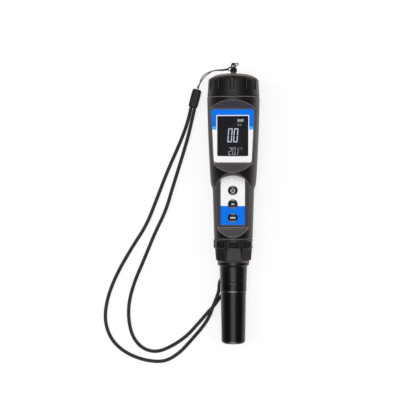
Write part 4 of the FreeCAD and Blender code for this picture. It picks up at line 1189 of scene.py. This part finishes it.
def segment_bars(width, tall, stroke):
    """The seven bars of a digit as outlines round the digit's middle, with mitred ends."""
    half_w, half_t = width / 2, tall / 2
    inner_w, inner_t = half_w - stroke, half_t - stroke
    middle_w = half_w - stroke / 2
    gap, shoulder, point = stroke * BAR_GAP, stroke * BAR_SHOULDER, stroke * BAR_POINT
    return {
        "a": ((-half_w + gap, half_t), (half_w - gap, half_t), (inner_w - gap, inner_t),
              (-inner_w + gap, inner_t)),
        "d": ((-half_w + gap, -half_t), (-inner_w + gap, -inner_t), (inner_w - gap, -inner_t),
              (half_w - gap, -half_t)),
        "b": ((half_w, half_t - gap), (half_w, gap + shoulder), (middle_w, gap),
              (inner_w, gap + shoulder), (inner_w, inner_t - gap)),
        "c": ((half_w, -half_t + gap), (inner_w, -inner_t + gap), (inner_w, -gap - shoulder),
              (middle_w, -gap), (half_w, -gap - shoulder)),
        "f": ((-half_w, half_t - gap), (-inner_w, inner_t - gap), (-inner_w, gap + shoulder),
              (-middle_w, gap), (-half_w, gap + shoulder)),
        "e": ((-half_w, -half_t + gap), (-half_w, -gap - shoulder), (-middle_w, -gap),
              (-inner_w, -gap - shoulder), (-inner_w, -inner_t + gap)),
        "g": ((-inner_w, shoulder), (inner_w, shoulder), (half_w - point, 0),
              (inner_w, -shoulder), (-inner_w, -shoulder), (-half_w + point, 0)),
    }


def rounded_block(x, station, width, tall, corner):
    """Outline of a rounded rectangle round a point."""
    outline = []
    for turn, (way_x, way_y) in enumerate(((1, 1), (-1, 1), (-1, -1), (1, -1))):
        for step in range(CORNER_STEPS + 1):
            angle = math.pi / 2 * (turn + step / CORNER_STEPS)
            outline.append((
                x + way_x * (width / 2 - corner) + corner * math.cos(angle),
                station + way_y * (tall / 2 - corner) + corner * math.sin(angle),
            ))
    return outline


def arc_band(x, station, radius, stroke, start, end):
    """Outline of a round band from one angle to another, in degrees."""
    outline = []
    for reach, order in ((radius + stroke / 2, 1), (radius - stroke / 2, -1)):
        for step in range(BAND_STEPS + 1)[::order]:
            angle = math.radians(start + (end - start) * step / BAND_STEPS)
            outline.append((x + reach * math.cos(angle), station + reach * math.sin(angle)))
    return outline


def plates(name, outlines, level, thickness, material):
    """Thin flat plates on a plane of the pen's frame, one from each outline."""
    points = []
    faces = []
    for outline in outlines:
        first = len(points)
        count = len(outline)
        for height in (level, level + thickness):
            points += [PEN_PLACE @ Vector((x, station, height)) for x, station in outline]
        faces.append(tuple(range(first + count - 1, first - 1, -1)))
        faces.append(tuple(range(first + count, first + 2 * count)))
        for step in range(count):
            turn = (step + 1) % count
            faces.append((first + step, first + turn, first + count + turn, first + count + step))
    return add_mesh(name, points, faces, material, smooth=False)


def counterclockwise(outline):
    """The outline, turned round if it runs clockwise."""
    area = sum(a[0] * b[1] - b[0] * a[1] for a, b in zip(outline, outline[1:] + outline[:1]))
    return outline if area > 0 else outline[::-1]


def digit_row(row, station, width, tall, stroke):
    """Outlines of the lit bars of a row of leaning digits."""
    bars = segment_bars(width, tall, stroke)
    outlines = []
    for character, x in row:
        for letter in SEGMENTS[character]:
            outline = counterclockwise(bars[letter])
            outlines.append([(x + u + v * DIGIT_LEAN, station + v) for u, v in outline])
    return outlines


def make_display_marks():
    """Lit reading, temperature, degree sign, battery and unit marks of the display."""
    bright = lcd_light("lcd_lit", screen_colour(176, 190, 204), 0.55)
    middling = lcd_light("lcd_middling", screen_colour(150, 158, 170), 0.4)
    dim = lcd_light("lcd_dim", screen_colour(100, 102, 112), 0.3)
    temperature = digit_row(TEMPERATURE_ROW, *TEMPERATURE_SIZES) + [rounded_block(*DECIMAL_POINT)]
    badge = [rounded_block(BADGE_X + BADGE_PITCH * cell, *BADGE_BLOCK) for cell in range(BADGE_CELLS)]
    for name, outlines, material in (
        ("lcd_reading", digit_row(READING_ROW, *READING_SIZES), bright),
        ("lcd_temperature", temperature, middling),
        ("lcd_degree", [arc_band(*band) for band in DEGREE_BANDS], dim),
        ("lcd_badge", badge, middling),
        ("lcd_marks", [rounded_block(*block) for block in UNIT_BLOCKS], dim),
    ):
        piece = plates(name, outlines, LCD_TOP_Z, LCD_MARK_THICKNESS, material)
        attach(piece, "meter")


def make_key_marks():
    """The power sign, and a plain bar on each of the other two keys."""
    ink = key_mark()
    for name, outlines in (
        ("power", [arc_band(*POWER_BAND), rounded_block(*POWER_BAR)]),
        ("hold", [rounded_block(*HOLD_BAR)]),
        ("mode", [rounded_block(*MODE_BAR)]),
    ):
        level = BUTTON_TOP_Z - KEY_MARK_SUNK
        piece = plates("mark_" + name, outlines, level, KEY_MARK_THICKNESS, ink)
        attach(piece, "button_" + name)


# Threads


def thread(name, radius, low_s, high_s, rise, width):
    """A round-backed screw ridge on a cylinder round the pen's axis, run out at both ends."""
    turns = (high_s - low_s) / THREAD_PITCH
    steps = int(turns * THREAD_STEPS)
    points = []
    for step in range(steps + 1):
        share = step / steps
        runout = min(1.0, share * turns * THREAD_RUNOUTS, (1 - share) * turns * THREAD_RUNOUTS)
        angle = 2 * math.pi * share * turns
        station = low_s + (high_s - low_s) * share
        for across, lift in THREAD_PROFILE:
            reach = radius + rise * (lift * runout)
            x = reach * math.cos(angle)
            height = reach * math.sin(angle)
            points.append(PEN_PLACE @ Vector((x, station + across * width, height)))
    count = len(THREAD_PROFILE)
    faces = skin_faces(steps + 1, count)
    faces += [face[::-1] for face in end_faces(steps + 1, count)]
    piece = add_mesh(name, points, faces, FINISHES["housing_black"], smooth=False)
    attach(piece, "meter")


def make_threads():
    """Ridges on the neck, under the battery cap, and on the spigot, under the lock collar."""
    for name, measures in THREADS.items():
        thread(name, *measures)


set_camera()
make_cord()
make_strings()
make_sleeve()
make_knot()
lay_floor()
light_studio()
dress_nodes()
make_display_marks()
make_key_marks()
make_threads()
